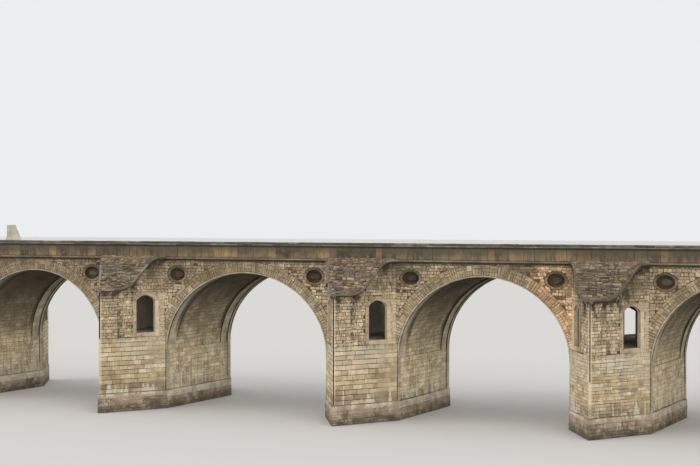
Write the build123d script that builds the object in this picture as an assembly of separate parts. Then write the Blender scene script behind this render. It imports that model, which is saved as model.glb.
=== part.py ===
from build123d import *
import os
from math import atan2, cos, hypot, radians, sin, tan

# A stone arch bridge on piers with pointed cutwaters, as a 1:2 scale model in millimetres.
# X runs along the bridge, -Y is the front, Z is up from the lowest course at the water line.
# The origin is under the middle of the bridge.

# Layout of the bays: the clear span of each arch from the left end, and what is common to all
SPANS = [5800, 6200, 5900, 5900]
PIER_WIDTH = 2620
BRIDGE_WIDTH = 4800

# Heights of the parts of a pier and an arch, one above the other
FOOTING_HEIGHT = 650
SHAFT_HEIGHT = 1400
ARCH_RISE = 2750
RING_THICKNESS = 400
CROWN_COVER = 35

# Arch rings and barrels, whose middle is set back behind a smooth band at each end
RING_DEPTH = 225
RING_LIP = 30
BAND_DEPTH = 475
BARREL_RECESS = 40

# Footings and cutwaters
FOOTING_PROUD = 30
NOSE_LENGTH = 2325
LEDGE_OVER_SPRINGING = 500
NOSE_STRIP_SHARE = 0.27
PANEL_DEPTH = 50

# The S-shaped roof of a cutwater
ROOF_COVER = 100
ROOF_FLAT_SHARE = 0.25
ROOF_SLOPE = 50
ROOF_LOW_RADIUS = 800
ROOF_HIGH_RADIUS = 450
MOULDING_HEIGHT = 90
MOULDING_PROJECTION = 50

# The chamber through the upper pier, and its openings in the cutwater faces
CHAMBER_FLOOR_OVER_LEDGE = 100
CHAMBER_WALL_HEIGHT = 1150
CHAMBER_VAULT_RISE = 250
CHAMBER_HALF_WIDTH = 820
CUTWATER_WALL = 250
WINDOW_SHARE = 0.70
WINDOW_WIDTH = 750
SILL_UPSTAND = 50
WINDOW_HEIGHT = 1300
WINDOW_HEAD_RISE = 190
REVEAL_DEPTH = 110
EMBRASURE_MARGIN = 120
SURROUND_WIDTH = 150
SURROUND_PROUD = 15
SURROUND_DEPTH = 60

# The oval recesses beside the cutwaters
OVAL_WIDTH = 600
OVAL_HEIGHT = 440
OVAL_DEPTH = 150
OVAL_OFFSET = 1762
OVAL_DROP = 510
BOSS_MARGIN = 90
BOSS_HEIGHT = 80
BOSS_CHAMFER = 40

# Deck, road and parapets
ROAD_EDGE_THICKNESS = 30
ROAD_CAMBER = 50
PARAPET_THICKNESS = 225
PARAPET_HEIGHT = 400
COPING_HEIGHT = 75
COPING_OVERHANG = 35
COPING_CHAMFER = 20

# The pale stone on the back parapet
MARKER_WIDTH = 625
MARKER_TOP_WIDTH = 270
MARKER_HEIGHT = 600
MARKER_FOOT_HEIGHT = 110
MARKER_THICKNESS = 210
MARKER_SHIFT = 60

BAYS = len(SPANS)
PIERS = BAYS + 1
HALF_PIER = PIER_WIDTH / 2
HALF_WIDTH = BRIDGE_WIDTH / 2
HALF_LENGTH = (sum(SPANS) + PIERS * PIER_WIDTH) / 2

# Levels above the water line
SPRING_LEVEL = FOOTING_HEIGHT + SHAFT_HEIGHT
LEDGE_LEVEL = SPRING_LEVEL + LEDGE_OVER_SPRINGING
CHAMBER_FLOOR = LEDGE_LEVEL + CHAMBER_FLOOR_OVER_LEDGE
CHAMBER_SPRING = CHAMBER_FLOOR + CHAMBER_WALL_HEIGHT
CHAMBER_TOP = CHAMBER_SPRING + CHAMBER_VAULT_RISE
WINDOW_SILL = CHAMBER_FLOOR + SILL_UPSTAND
EAVES_LEVEL = CHAMBER_TOP + ROOF_COVER
STRING_LEVEL = SPRING_LEVEL + ARCH_RISE + RING_THICKNESS + CROWN_COVER
OVAL_LEVEL = STRING_LEVEL - OVAL_DROP
DECK_LEVEL = STRING_LEVEL + MOULDING_HEIGHT
PARAPET_TOP = DECK_LEVEL + PARAPET_HEIGHT
COPING_TOP = PARAPET_TOP + COPING_HEIGHT

# The right face of a front cutwater, from the nose to the wall, with the wall plane at y = 0
FACE_LENGTH = hypot(HALF_PIER, NOSE_LENGTH)
FACE_ANGLE = atan2(NOSE_LENGTH, HALF_PIER)
ALONG = Vector(cos(FACE_ANGLE), sin(FACE_ANGLE), 0)
OUTWARD = Vector(sin(FACE_ANGLE), -cos(FACE_ANGLE), 0)
NOSE = Vector(0, -NOSE_LENGTH, 0)

BOTH_SIDES = {"front": 0, "back": 180}

os.makedirs("parts", exist_ok=True)


def write(name, *solids):
    """Write one node, made of one solid or of several that don't touch."""
    shape = solids[0] if len(solids) == 1 else Compound(children=list(solids))
    export_step(shape, f"parts/{name}.step")


def pier_x(number):
    """The place of a pier, numbered from 1 at the left end."""
    before = number - 1
    return -HALF_LENGTH + HALF_PIER + before * PIER_WIDTH + sum(SPANS[:before])


def bay_x(number):
    """The middle of an arch, numbered from 1 at the left end."""
    return (pier_x(number) + pier_x(number + 1)) / 2


def block(x_from, x_to, y_from, y_to, z_from, z_to):
    """A plain block between two corners."""
    size = (x_to - x_from, y_to - y_from, z_to - z_from)
    return Pos(x_from, y_from, z_from) * Box(*size, align=(Align.MIN, Align.MIN, Align.MIN))


def upright(points, bottom, top):
    """A prism over an outline in plan."""
    outline = make_face(Polyline(*points, close=True))
    return Pos(0, 0, bottom) * extrude(outline, top - bottom)


def through(shape, y_from, y_to):
    """Push a flat shape, drawn as x and z, through the bridge from one y to another."""
    return extrude(Plane.XZ.offset(-y_from) * shape, -(y_to - y_from))


def half_ellipse(half_width, rise):
    """The upper half of an ellipse on the springing line."""
    lower = Pos(0, -rise / 2) * Rectangle(3 * half_width, rise)
    return Pos(0, SPRING_LEVEL) * (Ellipse(half_width, rise) - lower)


def arch_line(number, lift):
    """The half ellipse of an arch, lifted off the inner edge of its face ring."""
    return Pos(bay_x(number), 0) * half_ellipse(SPANS[number - 1] / 2 + lift, ARCH_RISE + lift)


def arch_ring(number):
    """The front face ring of one arch."""
    ring = arch_line(number, RING_THICKNESS) - arch_line(number, 0)
    return through(ring, -HALF_WIDTH, -HALF_WIDTH + RING_DEPTH)


def arch_vault(number):
    """The barrel between the two face rings, a little higher inside than at its two bands."""
    inner = HALF_WIDTH - RING_DEPTH
    middle = inner - BAND_DEPTH
    barrel = arch_line(number, RING_THICKNESS) - arch_line(number, RING_LIP)
    recess = arch_line(number, RING_LIP + BARREL_RECESS)
    return through(barrel, -inner, inner) - through(recess, -middle, middle)


def footing():
    """The lowest course round a pier, with a weathered top edge."""
    half = HALF_PIER
    wall = HALF_WIDTH
    tip = HALF_WIDTH + NOSE_LENGTH
    corners = [(-half, -wall), (0, -tip), (half, -wall), (half, wall), (0, tip), (-half, wall)]
    outline = offset(make_face(Polyline(*corners, close=True)), FOOTING_PROUD, kind=Kind.INTERSECTION)
    course = extrude(outline, FOOTING_HEIGHT)
    return chamfer(course.faces().sort_by(Axis.Z)[-1].edges(), FOOTING_PROUD)


def shaft():
    """The pier below the arches, its flanks set back between the corner quoins."""
    core = block(-HALF_PIER, HALF_PIER, -HALF_WIDTH, HALF_WIDTH, FOOTING_HEIGHT, SPRING_LEVEL)
    inner = HALF_WIDTH - RING_DEPTH
    for side in (-1, 1):
        edges = sorted((side * HALF_PIER, side * (HALF_PIER - RING_LIP)))
        core -= block(*edges, -inner, inner, FOOTING_HEIGHT, SPRING_LEVEL)
    return core


def chamber_profile():
    """The chamber through the head of a pier, as seen from the front."""
    half = CHAMBER_HALF_WIDTH
    top = CHAMBER_SPRING
    walls = Polyline((-half, top), (-half, CHAMBER_FLOOR), (half, CHAMBER_FLOOR), (half, top))
    vault = ThreePointArc((half, top), (0, CHAMBER_TOP), (-half, top))
    return make_face([walls, vault])


def spandrel_sides(number):
    """The sides of a pier that have an arch, and so a spandrel with an oval recess."""
    return [side for side, bay in ((-1, number - 1), (1, number)) if 1 <= bay <= BAYS]


def head(number):
    """The spandrels over a pier, from the springing to the string course and out to the crowns."""
    middle = pier_x(number)
    left = bay_x(number - 1) if -1 in spandrel_sides(number) else middle - HALF_PIER
    right = bay_x(number) if 1 in spandrel_sides(number) else middle + HALF_PIER
    mass = block(left, right, -HALF_WIDTH, HALF_WIDTH, SPRING_LEVEL, STRING_LEVEL)
    for side in spandrel_sides(number):
        bay = number + min(side, 0)
        mass -= through(arch_line(bay, RING_THICKNESS), -HALF_WIDTH, HALF_WIDTH)
        oval = Pos(middle + side * OVAL_OFFSET, OVAL_LEVEL) * Ellipse(OVAL_WIDTH / 2, OVAL_HEIGHT / 2)
        mass -= through(oval, -HALF_WIDTH, -HALF_WIDTH + OVAL_DEPTH)
        mass -= through(oval, HALF_WIDTH - OVAL_DEPTH, HALF_WIDTH)
    return mass - through(Pos(middle, 0) * chamber_profile(), -HALF_WIDTH, HALF_WIDTH)


def boss():
    """A worn boss that fills the middle of an oval recess, on the front."""
    oval = Ellipse(OVAL_WIDTH / 2 - BOSS_MARGIN, OVAL_HEIGHT / 2 - BOSS_MARGIN)
    seat = -HALF_WIDTH + OVAL_DEPTH
    body = through(Pos(0, OVAL_LEVEL) * oval, seat - BOSS_HEIGHT, seat)
    return chamfer(body.faces().sort_by(Axis.Y)[0].edges(), BOSS_CHAMFER)


def face_point(share, inset=0):
    """A point on the right cutwater face, at a share of its length from the nose."""
    point = NOSE + ALONG * (share * FACE_LENGTH) - OUTWARD * inset
    return (point.X, point.Y)


def wall_point(inset):
    """Where a line parallel to the right face, set in by some depth, meets the wall."""
    return (HALF_PIER - inset / sin(FACE_ANGLE), 0)


def mirrored(points):
    """An outline in plan, from points on its right half listed from the nose to the wall."""
    return points + [(-x, y) for x, y in reversed(points) if x > 0]


def roof_line(lift):
    """The S line of a roof, as y and z points with radii, lifted square to itself."""
    turn = radians(ROOF_SLOPE)
    shift = -lift * tan(turn / 2)
    start = -NOSE_LENGTH * (1 - ROOF_FLAT_SHARE)
    low_y = start + ROOF_LOW_RADIUS * tan(turn / 2)
    high_y = low_y + (STRING_LEVEL - EAVES_LEVEL) / tan(turn)
    far = -NOSE_LENGTH - 4 * MOULDING_PROJECTION
    low = EAVES_LEVEL + lift
    high = STRING_LEVEL + lift
    points = [(far, low), (low_y + shift, low), (high_y + shift, high), (0, high)]
    return points, [ROOF_LOW_RADIUS - lift, ROOF_HIGH_RADIUS + lift]


def along_bridge(face):
    """Push a shape drawn as y and z to both sides, past the pier's width."""
    return extrude(Plane.YZ * face, PIER_WIDTH, both=True)


def under_roof():
    """All that lies under the S line."""
    points, radii = roof_line(0)
    line = FilletPolyline(*points, radius=radii)
    close = Polyline(points[-1], (points[-1][0], 0), (points[0][0], 0), points[0])
    return along_bridge(make_face([line, close]))


def cutwater_roof():
    """The stone slab of a front cutwater's roof, its moulded edge standing proud of the faces."""
    lower_points, lower_radii = roof_line(0)
    upper_points, upper_radii = roof_line(MOULDING_HEIGHT)
    lower = FilletPolyline(*lower_points, radius=lower_radii)
    upper = FilletPolyline(*upper_points, radius=upper_radii)
    ends = [Line(lower_points[index], upper_points[index]) for index in (0, -1)]
    strip = along_bridge(make_face([lower, upper] + ends))
    reach = MOULDING_PROJECTION
    tip = -NOSE_LENGTH - reach / cos(FACE_ANGLE)
    edge = HALF_PIER + reach / sin(FACE_ANGLE) + (-reach) / tan(FACE_ANGLE)
    plan = [(0, tip), (edge, -reach), (-edge, -reach)]
    return strip & upright(plan, 0, PARAPET_TOP)


def window_outline(margin=0, bottom=WINDOW_SILL):
    """The outline of a window: x along the face from its middle, y up. A margin widens it."""
    half = WINDOW_WIDTH / 2 + margin
    spring = WINDOW_SILL + WINDOW_HEIGHT - WINDOW_HEAD_RISE
    crown = WINDOW_SILL + WINDOW_HEIGHT + margin
    sides = Polyline((-half, spring), (-half, bottom), (half, bottom), (half, spring))
    arch = ThreePointArc((half, spring), (0, crown), (-half, spring))
    return make_face([sides, arch])


def on_face(shape, inset, depth):
    """Push a shape drawn on the right cutwater face inwards, from an inset to a depth."""
    middle = NOSE + ALONG * (WINDOW_SHARE * FACE_LENGTH) - OUTWARD * inset
    face = Plane(origin=middle, x_dir=ALONG, z_dir=OUTWARD)
    return extrude(face * shape, -(depth - inset))


def on_both_faces(solid):
    """A solid on the right face and its mirror on the left face."""
    return [solid, mirror(solid, about=Plane.YZ)]


def surround_outline():
    """The outer outline of the dressed frame round a window, which stands on the ledge."""
    return window_outline(SURROUND_WIDTH, LEDGE_LEVEL)


def surround():
    """The dressed frame round one window, seated in the panel."""
    frame = surround_outline() - window_outline()
    return on_face(frame, PANEL_DEPTH - SURROUND_PROUD, PANEL_DEPTH + SURROUND_DEPTH)


def cutwater():
    """A front cutwater: plain below the ledge, panelled and hollow above it, its windows wider inside."""
    base = upright(mirrored([(0, -NOSE_LENGTH), (HALF_PIER, 0)]), FOOTING_HEIGHT, LEDGE_LEVEL)
    panel = [(0, -NOSE_LENGTH), face_point(NOSE_STRIP_SHARE), face_point(NOSE_STRIP_SHARE, PANEL_DEPTH)]
    panel.append(wall_point(PANEL_DEPTH))
    body = base + upright(mirrored(panel), LEDGE_LEVEL, STRING_LEVEL)
    body &= under_roof()
    room_depth = PANEL_DEPTH + CUTWATER_WALL
    room_nose = -NOSE_LENGTH + room_depth / cos(FACE_ANGLE)
    body -= upright(mirrored([(0, room_nose), wall_point(room_depth)]), CHAMBER_FLOOR, CHAMBER_TOP)
    through_depth = room_depth + PANEL_DEPTH
    hole = on_face(window_outline(), 0, through_depth)
    seat = on_face(surround_outline(), 0, PANEL_DEPTH + SURROUND_DEPTH)
    inside_outline = window_outline(EMBRASURE_MARGIN, CHAMBER_FLOOR)
    inside = on_face(inside_outline, PANEL_DEPTH + REVEAL_DEPTH, through_depth)
    for cut in on_both_faces(hole) + on_both_faces(seat) + on_both_faces(inside):
        body -= cut
    return body


def string_course():
    """The straight moulding along the front wall."""
    inner = -HALF_WIDTH
    return block(-HALF_LENGTH, HALF_LENGTH, inner - MOULDING_PROJECTION, inner, STRING_LEVEL, DECK_LEVEL)


def roadway():
    """The road between the parapets, a little higher in the middle."""
    half = HALF_WIDTH - PARAPET_THICKNESS
    edge = DECK_LEVEL + ROAD_EDGE_THICKNESS
    sides = Polyline((-half, edge), (-half, DECK_LEVEL), (half, DECK_LEVEL), (half, edge))
    camber = ThreePointArc((half, edge), (0, edge + ROAD_CAMBER), (-half, edge))
    section = make_face([sides, camber])
    return extrude(Plane.YZ * section, HALF_LENGTH, both=True)


def parapet():
    """The front parapet wall."""
    outer = -HALF_WIDTH
    return block(-HALF_LENGTH, HALF_LENGTH, outer, outer + PARAPET_THICKNESS, DECK_LEVEL, PARAPET_TOP)


def coping():
    """The front coping, which overhangs the parapet on both sides."""
    outer = -HALF_WIDTH - COPING_OVERHANG
    inner = -HALF_WIDTH + PARAPET_THICKNESS + COPING_OVERHANG
    slab = block(-HALF_LENGTH, HALF_LENGTH, outer, inner, PARAPET_TOP, COPING_TOP)
    long_edges = slab.faces().sort_by(Axis.Z)[-1].edges().filter_by(Axis.X)
    return chamfer(long_edges, COPING_CHAMFER)


def marker_stone():
    """The pale stone on the back parapet over the first pier, with one sloping shoulder."""
    half = MARKER_WIDTH / 2
    neck = half - MARKER_SHIFT
    outline = [
        (-half, 0),
        (half, 0),
        (half - MARKER_SHIFT, MARKER_FOOT_HEIGHT),
        (-neck + MARKER_TOP_WIDTH, MARKER_HEIGHT),
        (-neck, MARKER_HEIGHT),
        (-neck, MARKER_FOOT_HEIGHT),
    ]
    middle = HALF_WIDTH - PARAPET_THICKNESS / 2
    flat = make_face(Polyline(*outline, close=True))
    stone = through(flat, middle - MARKER_THICKNESS / 2, middle + MARKER_THICKNESS / 2)
    return Pos(pier_x(1), 0, COPING_TOP) * stone


def at_piers(solid):
    """Copies of a solid, one at each pier."""
    return [Pos(pier_x(number), 0, 0) * solid for number in range(1, PIERS + 1)]


write("pier_footings", *at_piers(footing()))
plain_shaft = shaft()
for number in range(1, PIERS + 1):
    write(f"pier_{number}_shaft", Pos(pier_x(number), 0, 0) * plain_shaft)
    write(f"pier_{number}_head", head(number))

for number in range(1, BAYS + 1):
    write(f"arch_{number}_vault", arch_vault(number))

to_wall = Pos(0, -HALF_WIDTH, 0)
front_cutwater = to_wall * cutwater()
front_roof = to_wall * cutwater_roof()
front_surrounds = [to_wall * solid for solid in on_both_faces(surround())]
front_boss = boss()

front_rings = [arch_ring(number) for number in range(1, BAYS + 1)]
write("front_arch_rings", *front_rings)
write("back_arch_rings", *[mirror(ring, about=Plane.XZ) for ring in front_rings])

for side, angle in BOTH_SIDES.items():
    turned = Rot(0, 0, angle)
    for number, solid in enumerate(at_piers(turned * front_cutwater), start=1):
        write(f"pier_{number}_{side}_cutwater", solid)
    write(f"{side}_cutwater_roofs", *at_piers(turned * front_roof))
    frames = [copy for solid in front_surrounds for copy in at_piers(turned * solid)]
    write(f"{side}_window_surrounds", *frames)
    bosses = [
        Pos(pier_x(number) + oval_side * OVAL_OFFSET, 0, 0) * turned * front_boss
        for number in range(1, PIERS + 1)
        for oval_side in spandrel_sides(number)
    ]
    write(f"{side}_medallions", *bosses)
    write(f"{side}_string_course", turned * string_course())
    write(f"{side}_parapet", turned * parapet())
    write(f"{side}_coping", turned * coping())

write("deck", block(-HALF_LENGTH, HALF_LENGTH, -HALF_WIDTH, HALF_WIDTH, STRING_LEVEL, DECK_LEVEL))
write("roadway", roadway())
write("parapet_marker_stone", marker_stone())
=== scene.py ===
# %% [markdown]
# # An old stone arch bridge
# The bridge comes as plain solids: piers, arches, cutwaters, roofs and parapets. What makes it look old is
# its masonry, thousands of separate stones with open joints. This lesson lays those stones course by
# course over the solids, carves the mouldings, and paints the weather into the materials, with some
# painted shade under the mouldings and in corners and recesses.
# Everything is in metres, X along the bridge, the front towards -Y, Z up from the foot of the piers.

# %% Load the solid bridge
import bisect
import math
import random

import bpy
from mathutils import Matrix, Vector


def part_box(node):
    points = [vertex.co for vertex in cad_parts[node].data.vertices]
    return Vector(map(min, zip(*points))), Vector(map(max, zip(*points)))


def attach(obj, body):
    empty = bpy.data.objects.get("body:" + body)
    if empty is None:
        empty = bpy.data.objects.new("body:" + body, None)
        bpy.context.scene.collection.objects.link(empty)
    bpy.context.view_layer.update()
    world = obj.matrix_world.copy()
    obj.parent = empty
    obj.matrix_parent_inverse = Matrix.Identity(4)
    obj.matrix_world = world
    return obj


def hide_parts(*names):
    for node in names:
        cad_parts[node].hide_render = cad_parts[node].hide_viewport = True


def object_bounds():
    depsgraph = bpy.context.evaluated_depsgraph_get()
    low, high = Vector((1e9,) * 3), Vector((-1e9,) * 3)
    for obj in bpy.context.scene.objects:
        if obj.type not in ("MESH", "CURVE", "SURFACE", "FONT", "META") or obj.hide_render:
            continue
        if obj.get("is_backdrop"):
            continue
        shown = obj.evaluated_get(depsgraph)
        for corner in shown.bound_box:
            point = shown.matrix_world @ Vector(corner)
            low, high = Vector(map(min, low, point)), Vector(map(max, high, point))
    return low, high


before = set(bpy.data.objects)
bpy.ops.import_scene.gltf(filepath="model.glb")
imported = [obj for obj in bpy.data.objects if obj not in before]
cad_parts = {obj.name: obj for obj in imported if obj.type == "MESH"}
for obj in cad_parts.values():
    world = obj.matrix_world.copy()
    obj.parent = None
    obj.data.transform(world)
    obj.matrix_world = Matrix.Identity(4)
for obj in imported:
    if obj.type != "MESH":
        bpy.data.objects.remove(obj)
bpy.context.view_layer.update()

# %% [markdown]
# ## Measures
# A mason takes the measures off the building itself. They could be typed in, but then the stones would stop
# fitting as soon as a solid changed. So the places of the piers and arches and the levels of the courses
# are read from the solids' boxes. Only what a box can't tell, such as the radii of the curved roof, is
# written down as a number.

# %% Read the main measures off the solids
PIERS = [1, 2, 3, 4, 5]
BAYS = [1, 2, 3, 4]
SIDES = {"front": -1, "back": 1}
HANDS = (-1, 1)
RING = 0.40  # how high an arch ring is on the face
RING_DEPTH = 0.225  # how far it reaches in under the arch
LIP = 0.03  # how far it hangs below the bands behind it


def middle_x(solid):
    """The middle of a solid along the bridge."""
    low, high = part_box(solid)
    return (low.x + high.x) / 2


pier_x = {number: middle_x(f"pier_{number}_shaft") for number in PIERS}
bay_x = {number: middle_x(f"arch_{number}_vault") for number in BAYS}
half_span = {}
for number in BAYS:
    low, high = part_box(f"arch_{number}_vault")
    half_span[number] = (high.x - low.x) / 2 - RING

shaft_low, shaft_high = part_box("pier_1_shaft")
HALF_PIER = (shaft_high.x - shaft_low.x) / 2
HALF_WIDTH = shaft_high.y
FOOTING_TOP = shaft_low.z
SPRING = shaft_high.z
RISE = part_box("arch_1_vault")[1].z - SPRING - RING
STRING, DECK = (corner.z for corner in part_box("front_string_course"))
PARAPET_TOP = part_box("front_parapet")[1].z
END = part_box("front_parapet")[1].x
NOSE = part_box("pier_1_back_cutwater")[1].y - HALF_WIDTH
LEDGE = SPRING + 0.5  # where the cutwaters' ashlar ends
EAVES = 4.15  # the underside of a cutwater's roof at its nose
print("pier middles", [round(x, 2) for x in pier_x.values()])
print("half spans", [round(x, 2) for x in half_span.values()])

# %% The faces of a cutwater and their windows
FACE_ANGLE = math.atan2(NOSE, HALF_PIER)
FACE_LENGTH = math.hypot(HALF_PIER, NOSE)
STRIP = 0.27 * FACE_LENGTH  # the plain strip beside the nose
PANEL = -0.05  # the panel beyond the strip is set back
PANEL_END = (NOSE + math.cos(FACE_ANGLE) * PANEL) / math.sin(FACE_ANGLE)
WINDOW_MIDDLE = 0.70 * FACE_LENGTH
WINDOW_HALF = 0.375
WINDOW_SILL = 2.70
WINDOW_SPRING = 3.81
WINDOW_TOP = 4.00
FRAME_WIDTH = 0.15
print("a cutwater face is", round(FACE_LENGTH, 3), "long")

# %% [markdown]
# ## Stones
# A real stone in an old wall has a flat bed, a worn face and rounded edges, and the mortar has fallen back
# between it and its neighbours. Bump could draw that, but it stays flat in a steep view. So each stone is
# a low cushion: its outline, drawn in by half a joint, then two more rings that step out and in, and one
# point in the middle. That is twenty triangles, or forty where its corners are worn, so that many
# thousands stay light, and the gap between two cushions shows the dark mortar of the solid behind.

# %% A book that collects stones into one mesh
class StoneBook:
    """Collects stones, each with a tint from 0 to 1, and a share from 0 to 1 of soot and painted shade."""

    def __init__(self):
        self.points = []
        self.faces = []
        self.tints = []
        self.soot_and_shades = []
        self.count = 0

    def add(self, points, faces, tint, stain=0.0):
        start = len(self.points)
        self.points.extend(points)
        self.faces.extend([tuple(start + index for index in face) for face in faces])
        self.tints.extend([tint] * len(points))
        self.soot_and_shades.extend([stain] * len(points))
        self.count += 1


# %% Turn books into pieces
def build(book, name, slot, material, *solids):
    """Make one piece of a book's stones. It stands for the solids that are named."""
    mesh = bpy.data.meshes.new(name)
    mesh.from_pydata(book.points, [], book.faces)
    for label, values in (("tint", book.tints), ("stain", book.soot_and_shades)):
        layer = mesh.attributes.new(label, "FLOAT", "POINT")
        layer.data.foreach_set("value", values)
    mesh.materials.append(material)
    piece = bpy.data.objects.new(name, mesh)
    bpy.context.scene.collection.objects.link(piece)
    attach(piece, "root")
    if solids:
        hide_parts(*solids)
    triangles = sum(len(face) - 2 for face in book.faces)
    print(name, "has", book.count, "stones and", triangles, "triangles")


def dress(lay, *pieces):
    """Lay both long sides, a book for each piece: its name, slot, material, and the solid it stands for."""
    for side_name, side in SIDES.items():
        books = [StoneBook() for piece in pieces]
        lay(side, *books)
        for book, (name, slot, material, *solids) in zip(books, pieces):
            solids = [f"{side_name}_{solid}" for solid in solids]
            build(book, f"{side_name}_{name}", slot, material, *solids)


# %% Lay one stone
SUNK = -0.004  # the foot of a stone lies this deep in the mortar
SMALLEST = 0.008  # half the width of the smallest stone


def limits(outline):
    """The least and the most of an outline, across and up."""
    across, up = zip(*outline)
    return min(across), max(across), min(up), max(up)


def ribbon(start, count):
    """Faces from one ring of points to the next."""
    faces = []
    for index in range(count):
        after = (index + 1) % count
        faces.append((start + index, start + after, start + count + after, start + count + index))
    return faces


def cap(start, count):
    """Faces from the last ring of points to the one point that follows it."""
    return [(start + index, start + (index + 1) % count, start + count) for index in range(count)]


def faces_out(place, u, v):
    """Whether anticlockwise on the drawing is also anticlockwise as seen from outside."""
    here = place(u, v, 0)
    across = place(u + 0.01, v, 0) - here
    up = place(u, v + 0.01, 0) - here
    out = place(u, v, 0.01) - here
    return across.cross(up).dot(out) > 0


def lay_stone(book, place, outline, proud, joint, tint, stain=0.0, bevel=0.009, tilt=(0.0, 0.0)):
    """Lay a stone with a convex outline, drawn on a surface, that stands proud of it."""
    low_u, high_u, low_v, high_v = limits(outline)
    half_u, half_v = (high_u - low_u) / 2, (high_v - low_v) / 2
    small = min(half_u, half_v)
    if small < SMALLEST:
        return
    edge = min(joint / 2, 0.3 * small)
    bevel = min(bevel, 0.45 * (small - edge))
    middle_u, middle_v = (low_u + high_u) / 2, (low_v + high_v) / 2
    if not faces_out(place, middle_u, middle_v):
        outline = outline[::-1]
    points = []
    for inset, height in ((edge, SUNK), (edge, 0.45 * proud), (edge + bevel, proud)):
        narrow, short = 1 - inset / half_u, 1 - inset / half_v
        for u, v in outline:
            du, dv = (u - middle_u) * narrow, (v - middle_v) * short
            lean = (du / half_u * tilt[0] + dv / half_v * tilt[1]) * (height > 0)
            points.append(place(middle_u + du, middle_v + dv, height + lean))
    points.append(place(middle_u, middle_v, proud * 1.08))
    count = len(outline)
    book.add(points, ribbon(0, count) + ribbon(count, count) + cap(2 * count, count), tint, stain)


# %% [markdown]
# ## Cutting stones to a line
# Where a wall meets an arch, a window or a curved roof, the mason cuts each stone to the line. A Boolean
# modifier could do that, but it is slow on thousands of stones and leaves untidy faces. A stone's outline
# is convex, and one straight cut at a time keeps it convex. For each stone the nearest bit of the curve
# gives that cut, and a stone that falls on the wrong side isn't laid at all.

# %% Cut an outline
def beyond(u, v, point, normal):
    """How far a place lies beyond a line, on the side that the normal points to."""
    return (u - point[0]) * normal[0] + (v - point[1]) * normal[1]


def clip(outline, point, normal):
    """Keep the part of an outline on the side that the normal points to."""
    kept = []
    for (au, av), (bu, bv) in zip(outline, outline[1:] + outline[:1]):
        reach_a = beyond(au, av, point, normal)
        reach_b = beyond(bu, bv, point, normal)
        if reach_a >= 0:
            kept.append((au, av))
        if reach_a * reach_b < 0:
            share = reach_a / (reach_a - reach_b)
            kept.append((au + share * (bu - au), av + share * (bv - av)))
    return kept if len(kept) > 2 else []


print("a square, cut across:", clip([(0, 0), (2, 0), (2, 2), (0, 2)], (1, 0), (1, 0)))


# %% Cutters for curves
STRAY = -0.02  # a stone whose middle lies further than this on the wrong side is left out


def centre_of(outline):
    """The mean of an outline's corners."""
    return sum(u for u, v in outline) / len(outline), sum(v for u, v in outline) / len(outline)


def edges_of(points, closed):
    """Each edge of a line: where it starts, the direction to its right, and its middle."""
    ends = points[1:] + (points[:1] if closed else [])
    edges = []
    for a, b in zip(points, ends):
        du, dv = b[0] - a[0], b[1] - a[1]
        length = math.hypot(du, dv)
        if length > 1e-6:
            middle = ((a[0] + b[0]) / 2, (a[1] + b[1]) / 2)
            edges.append((a, (dv / length, -du / length), middle))
    return edges


def cut_along(outline, centre, edge):
    """Cut an outline along an edge, or drop it if its middle lies on the wrong side."""
    start, right, middle = edge
    return clip(outline, start, right) if beyond(*centre, start, right) > STRAY else []


def outside(points):
    """A cutter for a convex opening, drawn anticlockwise."""
    edges = edges_of(points, True)
    low_u, high_u, low_v, high_v = limits(points)

    def cut(outline):
        left, right, bottom, top = limits(outline)
        if right <= low_u or left >= high_u or top <= low_v or bottom >= high_v:
            return outline
        centre = centre_of(outline)
        return cut_along(outline, centre, max(edges, key=lambda edge: beyond(*centre, *edge[:2])))

    return cut


def right_of(points):
    """A cutter for a wall that lies to the right of a line, going along it."""
    edges = edges_of(points, False)

    def cut(outline):
        centre = centre_of(outline)
        return cut_along(outline, centre, min(edges, key=lambda edge: math.dist(centre, edge[2])))

    return cut


# %% [markdown]
# ## Courses
# Stones lie in courses. Squared ashlar has even courses with long stones; the smaller wall stones vary
# more, and now and then two thin ones fill the height of one. Copies of a few stones would soon show as a
# pattern, so each one is drawn anew from random numbers. These come from a seed, so the wall is the same
# each time the script runs.

# %% Marks along a wall
def fitted(chance, start, end, least, most):
    """Marks from start to end, spaced at random between least and most, and fitted to close."""
    steps = [chance.uniform(least, most)]
    while sum(steps) < end - start - least / 2:
        steps.append(chance.uniform(least, most))
    scale = (end - start) / sum(steps)
    marks = [start]
    for step in steps:
        marks.append(marks[-1] + step * scale)
    return marks


print("a metre of wall:", [round(mark, 2) for mark in fitted(random.Random(1), 0, 1, 0.2, 0.4)])


# %% Lay a wall in courses
WHOLE = (1, 1)  # lengths for a wall that is one stone long


def knock_corners(chance, outline, worn):
    """Break off each corner of an outline by up to a length, more along one edge than the other."""
    points = []
    for index, (u, v) in enumerate(outline):
        for au, av in (outline[index - 1], outline[(index + 1) % len(outline)]):
            length = math.hypot(au - u, av - v)
            share = min(0.35, chance.uniform(0.3, 1.0) * worn / length)
            points.append((u + (au - u) * share, v + (av - v) * share))
    return points


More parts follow.
